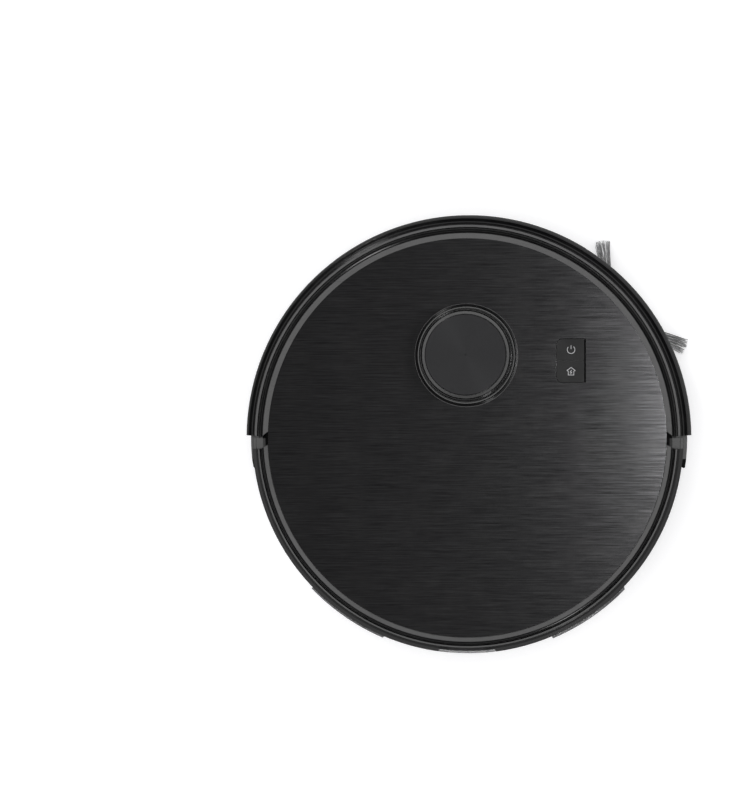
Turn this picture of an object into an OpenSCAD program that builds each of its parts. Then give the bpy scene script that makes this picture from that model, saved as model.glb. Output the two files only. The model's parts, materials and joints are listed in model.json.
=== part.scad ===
// Robot vacuum and mop with a laser turret. The front faces -Y and the floor is z = 0.

/* [Body] */
// Diameter of the rear half of the body
body_d = 342; // [330:1:420]
// Height of the top plate's face above the floor
body_h = 80; // [78:1:100]
// Gap between the underside and the floor
floor_gap = 10; // [9:0.5:11]
// Wall thickness of the shells
wall = 2.4; // [2:0.2:2.8]
// Width of the ring outside the top plate
ring_w = 13.6; // [13.2:0.2:15]
// Thickness of the top plate
plate_t = 1; // [0.8:0.1:1.4]

/* [Bumper] */
// How far the bumper stands out past the rear body
bumper_proud = 7; // [6:0.5:10]
// Travel of the bumper when it is pressed
bumper_travel = 3; // [2:0.5:3.5]

/* [Turret] */
// Outer diameter of the turret's base ring
turret_d = 81; // [78:0.5:92]
// Distance of the turret's axis ahead of the body's axis
turret_ahead = 65; // [62:0.5:68]
// Height of the turret above the top plate
turret_h = 16.5; // [15:0.5:22]
// Press travel of the turret cover
turret_travel = 1; // [0.5:0.1:1.2]

/* [Buttons] */
// Width of the button pair
button_w = 21.7; // [20:0.1:25]
// Length of one button
button_l = 16.9; // [15:0.1:18]
// Press travel of a button
button_travel = 0.8; // [0.4:0.1:1]

/* [Drive wheels] */
// Diameter of a tyre
wheel_d = 70; // [58:1:72]
// Width of a tyre
wheel_w = 20; // [16:1:22]
// Distance of a wheel's middle from the body's edge
wheel_inset = 50; // [48:1:54]

/* [Caster] */
// Diameter of the caster wheel
caster_d = 30; // [25:1:32]
// Width of the caster wheel
caster_w = 18; // [14:1:20]

/* [Brushes] */
// Diameter of the main brush over its blades
brush_d = 41; // [34:1:42]
// Reach of the side brush from its axis
side_reach = 64; // [50:1:66]

/* [Bin module] */
// Width of the dustbin and water tank module
module_w = 264; // [230:1:270]
// Depth of the dustbin from front to back
bin_l = 76; // [64:1:80]
// Width of the dust outlet
port_w = 44; // [36:1:48]
// Height of the dust outlet
port_h = 20; // [16:1:22]
// How far the tank's clear bands stand out at its back corners
band_proud = 2.4; // [1:0.2:3]

/* [Hidden] */

$fn = 96;
eps = 0.01;
gap = 0.3; // between pieces that slide past each other
slip = 0.05; // radial clearance of a running fit

body_r = body_d / 2;
bumper_r = body_r + bumper_proud;
plate_r = body_r - ring_w;
split_z = body_h - 20; // where the top cover meets the base shell
mid_z = body_h / 2;
plate_under = body_h - plate_t;
cover_under = plate_under - wall;
ring_z = plate_under - gap;
floor_top = floor_gap + wall;
front_r = body_r - 2; // base shell's front wall, inside the bumper
flange_r = plate_r - bumper_travel - 0.2; // the bumper's ring slides under the plate's edge
cover_front_r = flange_r - bumper_travel - 1.2;

skirt_r = body_r + 3.5;
skirt_top = mid_z + 6;
skirt_back = 24.5;

turret_y = -turret_ahead;
turret_r = turret_d / 2;
cover_r = turret_r - 4.3; // turret cover
disc_r = cover_r - 4.3; // turned disc in the cover
rotor_r = disc_r - 1.5;
turret_top = body_h + turret_h;
window_top = turret_top - 4;
bracket_z = split_z;
belt_z = bracket_z + 6.4;
motor_x = rotor_r + 15.6;
pulley_r = 5;
belt_t = 1;
post_r = turret_r + 2;

button_x = -(plate_r - 75.4); // middle of the button pair
button_y = -60.5;
button_gap = 0.5;
button_edge = 1.1; // wider gap along the outer side
button_round = 5; // the corners towards +X

wheel_x = body_r - wheel_inset;
wheel_r = wheel_d / 2;
hub_r = wheel_r - 7;
arm_x = wheel_x - wheel_w / 2 - 3; // outer face of the swing arm
arm_t = 14;
pivot_y = -(wheel_r + 15);
pivot_z = 40;
arm_motor_r = 10.5;
well_in = arm_x - arm_t - 3;
well_out = wheel_x + wheel_w / 2 + 7;
well_front = pivot_y - arm_motor_r - 2.5;
well_back = wheel_r + 4;

caster_y = -(body_r - 38);
caster_r = caster_d / 2;
caster_well = caster_r + 8;
caster_roof = 40;
trail = 4;
stem_r = 4;

brush_y = 18;
brush_z = 22;
brush_r = brush_d / 2;
core_r = 9;
brush_half = well_in - 13; // half the length of the main brush
house_half = brush_half + 6;
house_front = brush_y - 27;
house_back = brush_y + 26;
house_roof = brush_z + 23;
inlet_half = 42; // half the width of the dust inlet
inlet_x = -28;
inlet_low = 26;
inlet_high = 44;
bar_x = brush_half / 3; // guard bars
shaft_r = 3;

side_at = body_r - 20;
side_x = -side_at * cos(39.9);
side_y = -side_at * sin(39.9);
side_well = 16.4;
side_roof = 20;

bay_half = module_w / 2 + 1;
bay_front = 62;
module_top = split_z - 0.6;
bin_half = module_w / 2 - 28;
bin_low = 23.3;
bin_top = module_top - 2;
bin_front = bay_front + 0.6;
bin_back = bay_front + 1.5 + bin_l;
tank_t = 1.8;
tank_r = body_r - 0.2;
bin_r = tank_r - 5; // the bin's back corners follow the body's round edge
port_z = 38;
tab_half = 22;
tab_top = split_z + 10;
tab_front = body_r - 22;
flap_y = body_r - 4;
flap_pin_z = port_z + port_h / 2 + 3.4;

fan_x = 46;
fan_y = 12;
fan_r = 31;
fan_low = house_roof + wall;
fan_top = cover_under - 1.5;
window_x = fan_x + 4; // filter window in the bay's front wall
window_half = 24;
window_low = 30;
window_high = 56;
exhaust_low = bay_front - wall - 17;
exhaust_high = bay_front - wall - 3;

battery_half = 62;
battery_back = -42;
battery_front = -106;

screw_places = [[58, -(body_r - 38)], [body_r - 20, 8], [body_r - 29, 64]];
contact_x = 60;
switch_angles = [-125, -55];

// Points along an arc, from angle a to angle b
function arc(x, y, r, a, b, n = 6) = [for (i = [0 : n]) [x + r * cos(a + (b - a) * i / n),
    y + r * sin(a + (b - a) * i / n)]];

module block(x0, x1, y0, y1, z0, z1)
    translate([x0, y0, z0]) cube([x1 - x0, y1 - y0, z1 - z0]);

module rod(r, z0, z1, at = [0, 0])
    translate([at[0], at[1], z0]) cylinder(r = r, h = z1 - z0);

module tube(r_out, r_in, z0, z1, at = [0, 0]) difference() {
    rod(r_out, z0, z1, at);
    rod(r_in, z0 - 1, z1 + 1, at);
}

module rod_x(r, x0, x1, y, z)
    translate([x0, y, z]) rotate([0, 90, 0]) cylinder(r = r, h = x1 - x0);

module rod_y(r, y0, y1, x, z)
    translate([x, y0, z]) rotate([-90, 0, 0]) cylinder(r = r, h = y1 - y0);

module both_sides() {
    children();
    mirror([1, 0, 0]) children();
}

// A slot shape standing in the XZ plane, w wide and h high, with round ends
module oblong(w, h, y0, y1, z, grow = 0) {
    r = h / 2 + grow;
    side = w / 2 - h / 2;
    block(-side, side, y0, y1, z - r, z + r);
    rod_y(r, y0, y1, -side, z);
    rod_y(r, y0, y1, side, z);
}

// The bin module's outline, between a front line and the body's round back
module module_prism(x_half, y0, r, z0, z1) intersection() {
    block(-x_half, x_half, y0, r + 5, z0, z1);
    rod(r, z0 - 1, z1 + 1);
}

// ---- casing ----

module tub_half(r, turn) rotate([0, 0, turn]) rotate_extrude(angle = 180) polygon([
    [0, floor_gap], [r - 10, floor_gap], [r - 7, floor_gap + 2], [r, floor_gap + 15], [r, split_z],
    [r - wall, split_z], [r - wall, floor_gap + 16], [r - 8.5, floor_top + 2], [r - 11, floor_top],
    [0, floor_top]]);

module side_skirt() intersection() {
    tube(skirt_r, front_r - wall, floor_gap + 3, skirt_top);
    translate([0, 0, floor_gap]) linear_extrude(skirt_top) polygon([
        [body_r - 12, -20], [skirt_r + 5, -20], [skirt_r + 5, skirt_back - 6.5],
        [body_r + 1, skirt_back], [body_r - 3, skirt_back - 2], [body_r - 12, skirt_back - 2]]);
    translate([body_r - 20, 0, 0]) rotate([90, 0, 90]) linear_extrude(40) polygon([
        [-21, mid_z - 9], [bumper_travel - 1.4, mid_z - 9], [bumper_travel - 1.4, floor_gap + 2],
        [skirt_back - 14, floor_gap + 2], [skirt_back + 1, floor_gap + 14],
        [skirt_back + 1, skirt_top - 5], [skirt_back - 9, skirt_top + 1], [-21, skirt_top + 1]]);
}

module well_walls() {
    both_sides() block(well_in - wall, well_out + wall, well_front - wall, well_back + wall,
        floor_gap, split_z - 1);
    block(-battery_half - 4, battery_half + 4, battery_front - 4, battery_back + 4, floor_gap, mid_z - 2);
    rod(caster_well + wall, floor_gap, caster_roof + wall, [0, caster_y]);
    rod(stem_r + 4, caster_roof, caster_roof + 16, [0, caster_y]);
    intersection() {
        rod(side_well + wall, floor_gap, side_roof + wall, [side_x, side_y]);
        rod(front_r, floor_gap, split_z);
    }
    for (p = screw_places) both_sides() rod(4.5, floor_gap, split_z, p);
}

module well_holes() {
    both_sides() block(well_in, well_out, well_front, well_back, 0, split_z);
    block(-battery_half - 2, battery_half + 2, battery_front - 2, battery_back + 2, 0, mid_z);
    rod(caster_well, 0, caster_roof, [0, caster_y]);
    rod(stem_r + slip, 0, split_z, [0, caster_y]);
    rod(side_well, 0, side_roof, [side_x, side_y]);
    rod(4.2, 0, split_z, [side_x, side_y]);
    block(-house_half - wall - 0.2, house_half + wall + 0.2, house_front - wall - 0.2,
        house_back + wall + 0.2, 0, floor_top + 1);
    for (p = screw_places) both_sides() {
        rod(1.6, 0, split_z + 1, p);
        rod(3.6, 0, floor_gap + 3, p);
    }
    for (c = cliff_places()) rod(5.2, 0, floor_top + 1, c);
    for (a = switch_angles) rotate([0, 0, a]) rod_x(1.7, front_r - wall - 1, front_r + 1, 0, mid_z);
}

function cliff_places() = [for (a = [-62, -118, -20, -160]) (body_r - 21) * [cos(a), sin(a)]];

// Walls and roof of the bay that takes the bin module
module bin_bay() difference() {
    union() {
        intersection() {
            union() {
                both_sides() block(bay_half, bay_half + wall, bay_front - wall, body_r, floor_gap,
                    split_z);
                block(-bay_half - wall, bay_half + wall, bay_front - wall, bay_front, floor_gap, split_z);
            }
            rod(body_r - 0.5, 0, split_z + 1);
        }
        module_prism(bay_half + wall, bay_front - wall, body_r - 5, split_z - eps, split_z + 2);
    }
    block(inlet_x - inlet_half, inlet_x + inlet_half, bay_front - 9, bay_front + 1, inlet_low,
        inlet_high);
    block(window_x - window_half, window_x + window_half, bay_front - 9, bay_front + 1, window_low,
        window_high);
    block(-tab_half - 1, tab_half + 1, tab_front - 1, body_r, split_z - 1, split_z + 3);
}

module base_shell() color("#1c1c1e") {
    difference() {
        union() {
            tub_half(front_r, 180);
            tub_half(body_r, 0);
            both_sides() side_skirt();
            well_walls();
        }
        well_holes();
        block(-bay_half, bay_half, bay_front - wall, body_r + 1, 0, split_z + 1);
        for (i = [0 : 5]) block(well_out + 12, body_r + 1, exhaust_low + 2, exhaust_high - 2,
            50.4 + i * 1.4, 51.1 + i * 1.4);
    }
    bin_bay();
}

// Outline of the top cover's rear rim: plate seat, ring, groove, ridge and shoulder
module cover_rear() rotate_extrude(angle = 180) polygon(concat(
    [[0, cover_under], [0, plate_under], [plate_r - 0.5, plate_under], [plate_r - 0.4, ring_z - 0.7],
        [plate_r + 0.4, ring_z - 0.7], [plate_r + 0.4, ring_z]],
    arc(body_r - 9.9, ring_z - 1.9, 1.9, 90, 0),
    [[body_r - 7.9, ring_z - 3.1], [body_r - 7.3, ring_z - 3.3]],
    arc(body_r - 6.1, ring_z - 2.9, 0.6, 175, 90),
    arc(body_r - 5, ring_z - 2.9, 0.6, 90, 5),
    [[body_r - 4.3, ring_z - 3.9], [body_r - 2.9, ring_z - 7.3], [body_r - 2, ring_z - 8.2],
        [body_r, ring_z - 10.2], [body_r, split_z], [body_r - wall, split_z],
        [body_r - wall, ring_z - 11], [body_r - 5.4, ring_z - 7.6], [body_r - 8.5, ring_z - 5.9],
        [body_r - 10.5, ring_z - 3.6], [body_r - 14, cover_under]]));

module cover_front() rotate([0, 0, 180]) rotate_extrude(angle = 180) polygon([
    [0, cover_under], [0, plate_under], [cover_front_r, plate_under], [cover_front_r, split_z + wall],
    [front_r, split_z + wall], [front_r, split_z], [cover_front_r - wall, split_z],
    [cover_front_r - wall, cover_under]]);

// Lower step that the bumper's ring slides over, at each end of the bumper, sloping outwards
module travel_step() intersection() {
    rotate_extrude() polygon([
        [cover_front_r - 1, split_z + 1], [body_r - 9, split_z + 1], [body_r - 9, ring_z - 5.6],
        [plate_r + 2.5, ring_z - 3.5], [plate_r - 0.6, ring_z - 2.8], [cover_front_r - 1, ring_z - 2.8]]);
    block(cover_front_r - 12, body_r, -9, 10, split_z, ring_z);
}

module cover_shelf() intersection() {
    tube(body_r - 1, cover_front_r - 1, split_z + 0.2, split_z + wall - 0.2);
    block(cover_front_r - 12, body_r, -1, 14, split_z, split_z + wall);
}

module bumper_end_cut() translate([0, 0, split_z + wall]) linear_extrude(30) polygon([
    [flange_r - 1, -1], [flange_r - 1, 4.3], [plate_r + 0.4, 5.8], [body_r - 9, 8.2],
    [body_r - 6, 9.1], [body_r + 1, 9.1], [body_r + 1, -1]]);

// The space round the button pair, with its two corners towards +X rounded
module button_opening(grow, z0, z1) translate([button_x, button_y, z0]) {
    right = button_w / 2 + gap + grow;
    reach = button_l + button_gap / 2 + gap + grow;
    round = button_round + gap + grow;
    linear_extrude(z1 - z0) polygon(concat(
        [[-button_w / 2 - button_edge - grow, reach], [-button_w / 2 - button_edge - grow, -reach]],
        arc(right - round, round - reach, round, -90, 0, 8),
        arc(right - round, reach - round, round, 0, 90, 8)));
}

// A groove in the floor of that space, under the wider gap
module button_groove() translate([button_x - button_w / 2 - button_edge / 2, button_y, cover_under - 2])
    rotate([0, 45, 0]) cube([1.6, 2 * button_l, 1.6], center = true);

module top_cover() color("#1a1a1c") difference() {
    union() {
        difference() {
            cover_rear();
            both_sides() bumper_end_cut();
        }
        cover_front();
        both_sides() {
            travel_step();
            cover_shelf();
        }
        for (p = screw_places) both_sides() rod(4, split_z, cover_under + 1, p);
        button_opening(wall, cover_under - 4, cover_under + 1);
        for (sx = [-1, 1], sy = [-1, 1]) rod(1.5, cover_under - 6.2, cover_under - 3,
            [button_x + sx * 9.5, button_y + sy * 14]);
    }
    rod(cover_r + 0.5, split_z, body_h, [0, turret_y]);
    button_opening(0, cover_under - 2, body_h);
    button_groove();
    for (s = [-1, 1]) rod(2.4, cover_under - 5, body_h, [button_x, button_y + s * (button_l / 2 + 0.2)]);
    for (p = screw_places) both_sides() rod(1.5 + slip, split_z - 1, cover_under - 2, p);
    block(-tab_half - 0.6, tab_half + 0.6, tab_front, body_r + 1, split_z - 1, tab_top + 0.6);
    both_sides() block(contact_x - 8, contact_x + 8, body_r - 20, body_r + 1, split_z + 1.4,
        split_z + 6.6);
}

module top_plate() color("#3a3a3c") difference() {
    rod(plate_r, plate_under, body_h);
    rod(turret_r + 0.4, plate_under - 1, body_h + 1, [0, turret_y]);
    button_opening(0, plate_under - 1, body_h + 1);
}

module bumper() color("#151517") difference() {
    rotate([0, 0, 178]) rotate_extrude(angle = 184) polygon(concat(
        [[flange_r, ring_z]],
        arc(body_r - 9.4, ring_z - 2.9, 2.9, 90, 0, 8),
        [[body_r - 6.4, ring_z - 3.4], [body_r - 5.2, ring_z - 3.5]],
        arc(body_r - 4.3, ring_z - 2.5, 0.7, 175, 90, 6),
        arc(body_r - 2.7, ring_z - 2.5, 0.7, 90, 5, 6),
        [[body_r - 1.9, ring_z - 4.2], [body_r - 0.4, ring_z - 8.1], [bumper_r - 6.4, ring_z - 9.5],
            [bumper_r - 4, ring_z - 10.3], [bumper_r - 3, ring_z - 11.5], [bumper_r - 1.4, split_z],
            [bumper_r - 0.3, mid_z + 10], [bumper_r, mid_z], [bumper_r - 0.4, mid_z - 12],
            [bumper_r - 2, floor_gap + 8], [bumper_r - 3.5, floor_gap + 4],
            [bumper_r - 5.8, floor_gap + 4], [bumper_r - 4.2, floor_gap + 9],
            [bumper_r - 2.6, mid_z - 11], [bumper_r - 2.3, mid_z], [bumper_r - 2.5, mid_z + 10],
            [bumper_r - 3.7, split_z], [bumper_r - 5, ring_z - 13.1], [bumper_r - 7.2, ring_z - 12.3],
            [body_r - 2, ring_z - 10.1], [body_r - 4.4, ring_z - 6.1], [body_r - 7.6, ring_z - 5.9],
            [body_r - 8.6, ring_z - 2.4], [flange_r, ring_z - 2.4]]));
    both_sides() translate([0, 0, -1]) linear_extrude(body_h + 2) polygon([
        [flange_r - 2, -6.9], [plate_r + 0.4, -4.5], [body_r - 6.8, 0.6], [body_r - 5.5, -1.2],
        [bumper_r + 2, -2], [bumper_r + 2, 16], [flange_r - 2, 16]]);
    window_sector(bumper_r - 1.2, bumper_r + 2, 0.2);
}

// A band across the bumper's front
module window_sector(r_in, r_out, grow) rotate([0, 0, 270 - 32 - grow / 3])
    rotate_extrude(angle = 64 + grow / 1.5)
    polygon([[r_in, mid_z - 9 - grow], [r_out, mid_z - 9 - grow], [r_out, mid_z + 8 + grow],
        [r_in, mid_z + 8 + grow]]);

module bumper_window() color("#0a0a0c") window_sector(bumper_r - 1.2, bumper_r - 0.1, 0);

// Three turns of a coil spring, each a ring
module coil_rings(r, wire, step, n) for (i = [0 : n - 1]) translate([0, 0, i * step])
    rotate_extrude() translate([r, 0]) circle(r = wire);

module bumper_springs() color("silver") for (a = [-112, -68]) rotate([0, 0, a])
    translate([front_r + 1, 0, mid_z + 2]) rotate([0, 90, 0]) coil_rings(3, 0.5, 1.25, 4);

module bumper_switches() color("#303034") for (a = switch_angles) rotate([0, 0, a]) {
    block(front_r - wall - 9, front_r - wall - 0.5, -6, 6, mid_z - 4, mid_z + 4);
    rod_x(1.5, front_r - wall - 1, front_r + 1.5, 0, mid_z);
}

// ---- turret ----

module at_turret() translate([0, turret_y, 0]) children();

module turret_base() color("#1e1e20") at_turret() rotate_extrude() polygon([
    [cover_r + 0.4, plate_under], [turret_r, plate_under], [turret_r, body_h + 0.4],
    [turret_r - 1.4, body_h + 2], [turret_r - 2.2, body_h + 2.3], [turret_r - 3.2, body_h + 2.3],
    [turret_r - 3.4, body_h + 1.6], [cover_r + 0.4, body_h + 1.6]]);

module turret_cover() color("#1c1c1e") at_turret() difference() {
    rotate_extrude() polygon(concat(
        [[0, window_top], [cover_r - wall, window_top], [cover_r - wall, body_h - 3],
            [cover_r, body_h - 3], [cover_r, turret_top - 2]],
        arc(cover_r - 0.8, turret_top - 1.6, 0.8, 0, 180, 8),
        [[cover_r - 1.8, turret_top - 2.4], [disc_r + 0.2, turret_top - 2.6],
            [disc_r + 0.2, turret_top - 2], [0, turret_top - 2]]));
    for (i = [0 : 4]) rotate([0, 0, 28 + i * 72]) rotate_extrude(angle = 62) polygon([
        [cover_r - wall - 1, body_h + 3], [cover_r + 1, body_h + 3], [cover_r + 1, window_top - 0.6],
        [cover_r - wall - 1, window_top - 0.6]]);
}

module turret_disc() color("#363638") at_turret() rotate_extrude() polygon([
    [0, turret_top - 2], [disc_r, turret_top - 2], [disc_r, turret_top - 0.4],
    [disc_r - 0.4, turret_top], [0, turret_top]]);

module laser_rotor() color("#2a2a2e") at_turret() difference() {
    union() {
        rod(rotor_r, belt_z - 1.2, belt_z);
        rod(rotor_r - 1.4, belt_z - eps, belt_z + 4);
        rod(rotor_r, belt_z + 4 - eps, belt_z + 6.5);
        intersection() {
            rod(rotor_r - 2, belt_z + 6, window_top - turret_travel - 1);
            block(-rotor_r, rotor_r, -rotor_r + 13, rotor_r - 4, belt_z, turret_top);
        }
    }
    rod(8 + slip, belt_z - 3, belt_z + 11);
    for (s = [-1, 1]) rod_y(s < 0 ? 5 : 7, -rotor_r, 0, s * 13, body_h + 4);
}

module laser_lenses() color("#20283a") at_turret() for (s = [-1, 1]) {
    rod_y(s < 0 ? 5 : 7, -rotor_r + 14, -rotor_r + 20, s * 13, body_h + 4);
    rod_y(s < 0 ? 3.6 : 5.6, -rotor_r + 12.4, -rotor_r + 14 + eps, s * 13, body_h + 4);
}

module laser_bracket() color("#26262a") at_turret() difference() {
    union() {
        rod(rotor_r + 15, bracket_z, bracket_z + 2.4);
        rod(13, bracket_z, bracket_z + 2.4, [motor_x, 0]);
        rod(8, bracket_z, belt_z + 9.6);
        for (a = [70, 180, 290]) rod(3, bracket_z, cover_under, post_r * [cos(a), sin(a)]);
    }
    rod(3, bracket_z - 1, bracket_z + 5, [motor_x, 0]);
}

module laser_motor() color("silver") at_turret() difference() {
    rod(9, bracket_z - 13, bracket_z, [motor_x, 0]);
    rod(1 + slip, bracket_z - 9, bracket_z + 1, [motor_x, 0]);
}

module motor_pulley() color("#d8d8d0") at_turret() translate([motor_x, 0, 0]) {
    rod(1, bracket_z - 8.5, belt_z);
    rod(pulley_r + 1, belt_z - 1.2, belt_z - 0.2);
    rod(pulley_r, belt_z - 0.2 - eps, belt_z + 4.2);
    rod(pulley_r + 1, belt_z + 4.2 - eps, belt_z + 5.2);
}

module belt_loop(grow) hull() {
    circle(r = rotor_r - 1.4 + grow, $fn = 48);
    translate([motor_x, 0]) circle(r = pulley_r + grow, $fn = 24);
}

module drive_belt() color("#0e0e0e") at_turret() translate([0, 0, belt_z + 0.4]) linear_extrude(3.2)
    difference() {
        belt_loop(0.15 + belt_t);
        belt_loop(0.15);
    }

// ---- buttons ----

// A button with one round corner, towards +X and away from the other button
module button(side) color("#242426") translate([button_x, button_y, 0]) mirror([0, side > 0 ? 0 : 1, 0])
    translate([-button_w / 2, button_gap / 2, 0]) {
        z0 = cover_under + 0.2;
        block(0, button_w - button_round, 0, button_l, z0, body_h - 0.1);
        block(0, button_w, 0, button_l - button_round, z0, body_h - 0.1);
        rod(button_round, z0, body_h - 0.1, [button_w - button_round, button_l - button_round]);
        rod(1.8, cover_under - 5, z0 + eps, [button_w / 2, button_l / 2]);
    }

module power_button() button(-1);

module home_button() button(1);

module button_board() color("darkgreen") translate([button_x, button_y, 0]) {
    block(-11.5, 11.5, -16.5, 16.5, cover_under - 7.8, cover_under - 6.2);
    for (s = [-1, 1]) rod(1.6, cover_under - 6.2 - eps, cover_under - 6,
        [0, s * (button_l / 2 + button_gap / 2)]);
}

// ---- electronics ----

module main_board() color("darkgreen") {
    block(-78, 30, battery_front + 2, battery_back - 2, mid_z + 8, mid_z + 9.6);
    block(-70, -48, -96, -70, mid_z + 9.6 - eps, mid_z + 12);
    block(-34, -14, -78, -58, mid_z + 9.6 - eps, mid_z + 11.6);
    for (i = [0 : 5]) block(-76 + i * 17, -64 + i * 17, -54, -47, mid_z + 9.6 - eps, mid_z + 16);
    for (sx = [-76, 28], sy = [-102, -46]) rod(2.5, mid_z - 2 - eps, mid_z + 8 + eps,
        [sx < 0 ? -battery_half + 1 : sx, sy]);
}

module battery_pack() color("#2c4a78") block(-battery_half, battery_half, battery_front, battery_back,
    floor_top + 0.2, mid_z - 2.5);

module battery_door() color("#202022") difference() {
    block(-battery_half - 1.6, battery_half + 1.6, battery_front - 1.6, battery_back + 1.6,
        floor_gap, floor_top);
    for (i = [0 : 6]) block(-12, 12, battery_back - 12 + i * 1.6, battery_back - 11.2 + i * 1.6,
        floor_gap - 1, floor_gap + 0.6);
}

module charging_contacts() color("gold") both_sides() intersection() {
    tube(body_r - 0.3, body_r - 3.5, split_z + 1.4, split_z + 6.6);
    block(contact_x - 8, contact_x + 8, body_r - 40, body_r, split_z, split_z + 8);
}

module speaker() color("#2a2a2a") {
    rod(16, cover_under - 9, cover_under, [-60, 14]);
    rod(11, cover_under - 13, cover_under - 9 + eps, [-60, 14]);
}

module cliff_windows() color("#301018") for (c = cliff_places()) rod(5, floor_gap + 0.3, floor_top, c);

module housing_screws() color("silver") for (p = screw_places) both_sides() {
    rod(3.4, floor_gap + 0.6, floor_gap + 3, p);
    rod(1.5, floor_gap + 3 - eps, cover_under - 4, p);
}

// ---- drive wheels: the right one is on +X ----

module at_wheel() translate([wheel_x, 0, wheel_r]) rotate([0, 90, 0]) children();

module wheel_hub() color("#3c3c40") {
    at_wheel() difference() {
        rotate_extrude() polygon([
            [0, -wheel_w / 2 + 1], [hub_r, -wheel_w / 2 + 1], [hub_r, wheel_w / 2 - 1],
            [hub_r - 3, wheel_w / 2 - 1], [hub_r - 4, wheel_w / 2 - 5], [9, wheel_w / 2 - 5],
            [8, wheel_w / 2 - 2], [0, wheel_w / 2 - 2]]);
        for (i = [0 : 5]) rotate([0, 0, i * 60]) rod(3.6, wheel_w / 2 - 8, wheel_w, [hub_r / 2 + 3, 0]);
    }
    rod_x(4, arm_x - arm_t + 3, wheel_x - wheel_w / 2 + 2, 0, wheel_r);
}

module wheel_tyre() color("#141414") at_wheel() difference() {
    tube(wheel_r, hub_r, -wheel_w / 2, wheel_w / 2);
    for (i = [0 : 29]) rotate([0, 0, i * 12]) for (s = [-1, 1]) translate([wheel_r, 0, s * wheel_w / 4])
        rotate([s * 20, 0, 0]) cube([3.6, 2.4, wheel_w / 2 - 3], center = true);
    tube(wheel_r + 1, wheel_r - 1.8, -1, 1);
}

module swing_arm() color("#2e2e32") difference() {
    union() {
        rod_x(16, arm_x - arm_t, arm_x, 0, wheel_r);
        rod_x(arm_motor_r + 1.5, arm_x - arm_t, arm_x, pivot_y, pivot_z);
        block(arm_x - arm_t, arm_x, pivot_y, 0, wheel_r - 12, pivot_z + 9);
    }
    rod_x(4 + slip, arm_x - arm_t - 1, arm_x + 1, 0, wheel_r);
    rod_x(3 + slip, arm_x - arm_t - 1, arm_x - 6, pivot_y, pivot_z);
}

module arm_motor() color("silver") difference() {
    rod_x(arm_motor_r, arm_x, well_out - 5, pivot_y, pivot_z);
    rod_x(3 + slip, well_out - 12, well_out, pivot_y, pivot_z);
}

module right_wheel() wheel_hub();
module right_tyre() wheel_tyre();
module right_swing_arm() swing_arm();
module right_wheel_motor() arm_motor();
module left_wheel() mirror([1, 0, 0]) wheel_hub();
module left_tyre() mirror([1, 0, 0]) wheel_tyre();
module left_swing_arm() mirror([1, 0, 0]) swing_arm();
module left_wheel_motor() mirror([1, 0, 0]) arm_motor();

module pivot_pins() color("silver") both_sides() {
    rod_x(3, well_in, arm_x - arm_t + 7.5, pivot_y, pivot_z);
    rod_x(3, well_out - 11.5, well_out, pivot_y, pivot_z);
}

module wheel_springs() color("silver") both_sides() translate([well_out - 4, pivot_y, pivot_z])
    rotate([0, 90, 0]) coil_rings(4.4, 0.6, 1.3, 3);

// ---- caster ----

module caster_fork() color("#2c2c2e") translate([0, caster_y, 0]) difference() {
    union() {
        rod(stem_r, 33, caster_roof + 14);
        difference() {
            rod(caster_well - 1.5, 14, 34);
            block(-caster_w / 2 - 0.6, caster_w / 2 + 0.6, -caster_well, caster_well, 0,
                caster_r * 2 + 1);
        }
    }
    rod_x(2, -caster_well, caster_well, trail, caster_r);
}

module caster_wheel() color("#3a3a3a") translate([0, caster_y + trail, caster_r]) rotate([0, 90, 0])
    rotate_extrude() polygon([
        [2 + slip, -caster_w / 2], [caster_r - 1.5, -caster_w / 2], [caster_r, -caster_w / 2 + 1.5],
        [caster_r, caster_w / 2 - 1.5], [caster_r - 1.5, caster_w / 2], [2 + slip, caster_w / 2]]);

module caster_axle() color("silver") rod_x(2, -caster_w / 2 - 4, caster_w / 2 + 4, caster_y + trail,
    caster_r);

// ---- main brush ----

module brush_housing() color("#28282c") difference() {
    union() {
        block(-house_half - wall, house_half + wall, house_front - wall, house_back + wall,
            floor_gap + 3.4, house_roof + wall);
        block(inlet_x - inlet_half - wall, inlet_x + inlet_half + wall, house_back,
            bay_front - wall, inlet_low - wall, inlet_high + wall);
    }
    block(-house_half, house_half, house_front, house_back, 0, house_roof);
    block(inlet_x - inlet_half, inlet_x + inlet_half, house_back - 1, bay_front, inlet_low, inlet_high);
    rod_x(5, house_half - 1, house_half + wall + 1, brush_y, brush_z);
}

module brush_core() color("#3a3a3e") {
    rod_x(core_r, -brush_half, brush_half, brush_y, brush_z);
    rod_x(shaft_r, -brush_half - 5.5, -brush_half + 1, brush_y, brush_z);
    rod_x(shaft_r, brush_half - 1, house_half + 4, brush_y, brush_z);
}

// One run of the spiral blades between two guard bars
module blade_run(x0, x1) translate([x0, brush_y, brush_z]) rotate([0, 90, 0]) linear_extrude(x1 - x0,
    twist = -(x1 - x0) * 1.1, slices = 10, $fn = 4) for (a = [0 : 60 : 300]) rotate(a + 1.1 * x0)
        translate([core_r + 0.02, -1]) square([brush_r - core_r - 0.02, 2]);

module brush_blades() color("#8a8a8e") {
    blade_run(-brush_half + 2, -bar_x - 3);
    blade_run(-bar_x + 3, bar_x - 3);
    blade_run(bar_x + 3, brush_half - 2);
}

module brush_bearing() color("#c8c8c0") difference() {
    rod_x(8, -house_half, -brush_half - 1, brush_y, brush_z);
    rod_x(shaft_r + slip, -house_half - 1, -brush_half, brush_y, brush_z);
}

// Gear case beside the housing, with its motor lying in front of the brush
module brush_motor() color("#404048") {
    difference() {
        block(house_half + wall, well_in - wall - 0.4, brush_y - 44, brush_y + 16, brush_z - 8,
            brush_z + 20);
        rod_x(shaft_r + slip, house_half, well_in, brush_y, brush_z);
    }
    rod_x(9.5, house_half - 32, house_half + wall + eps, house_front - wall - 12, brush_z + 8);
}

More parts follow.
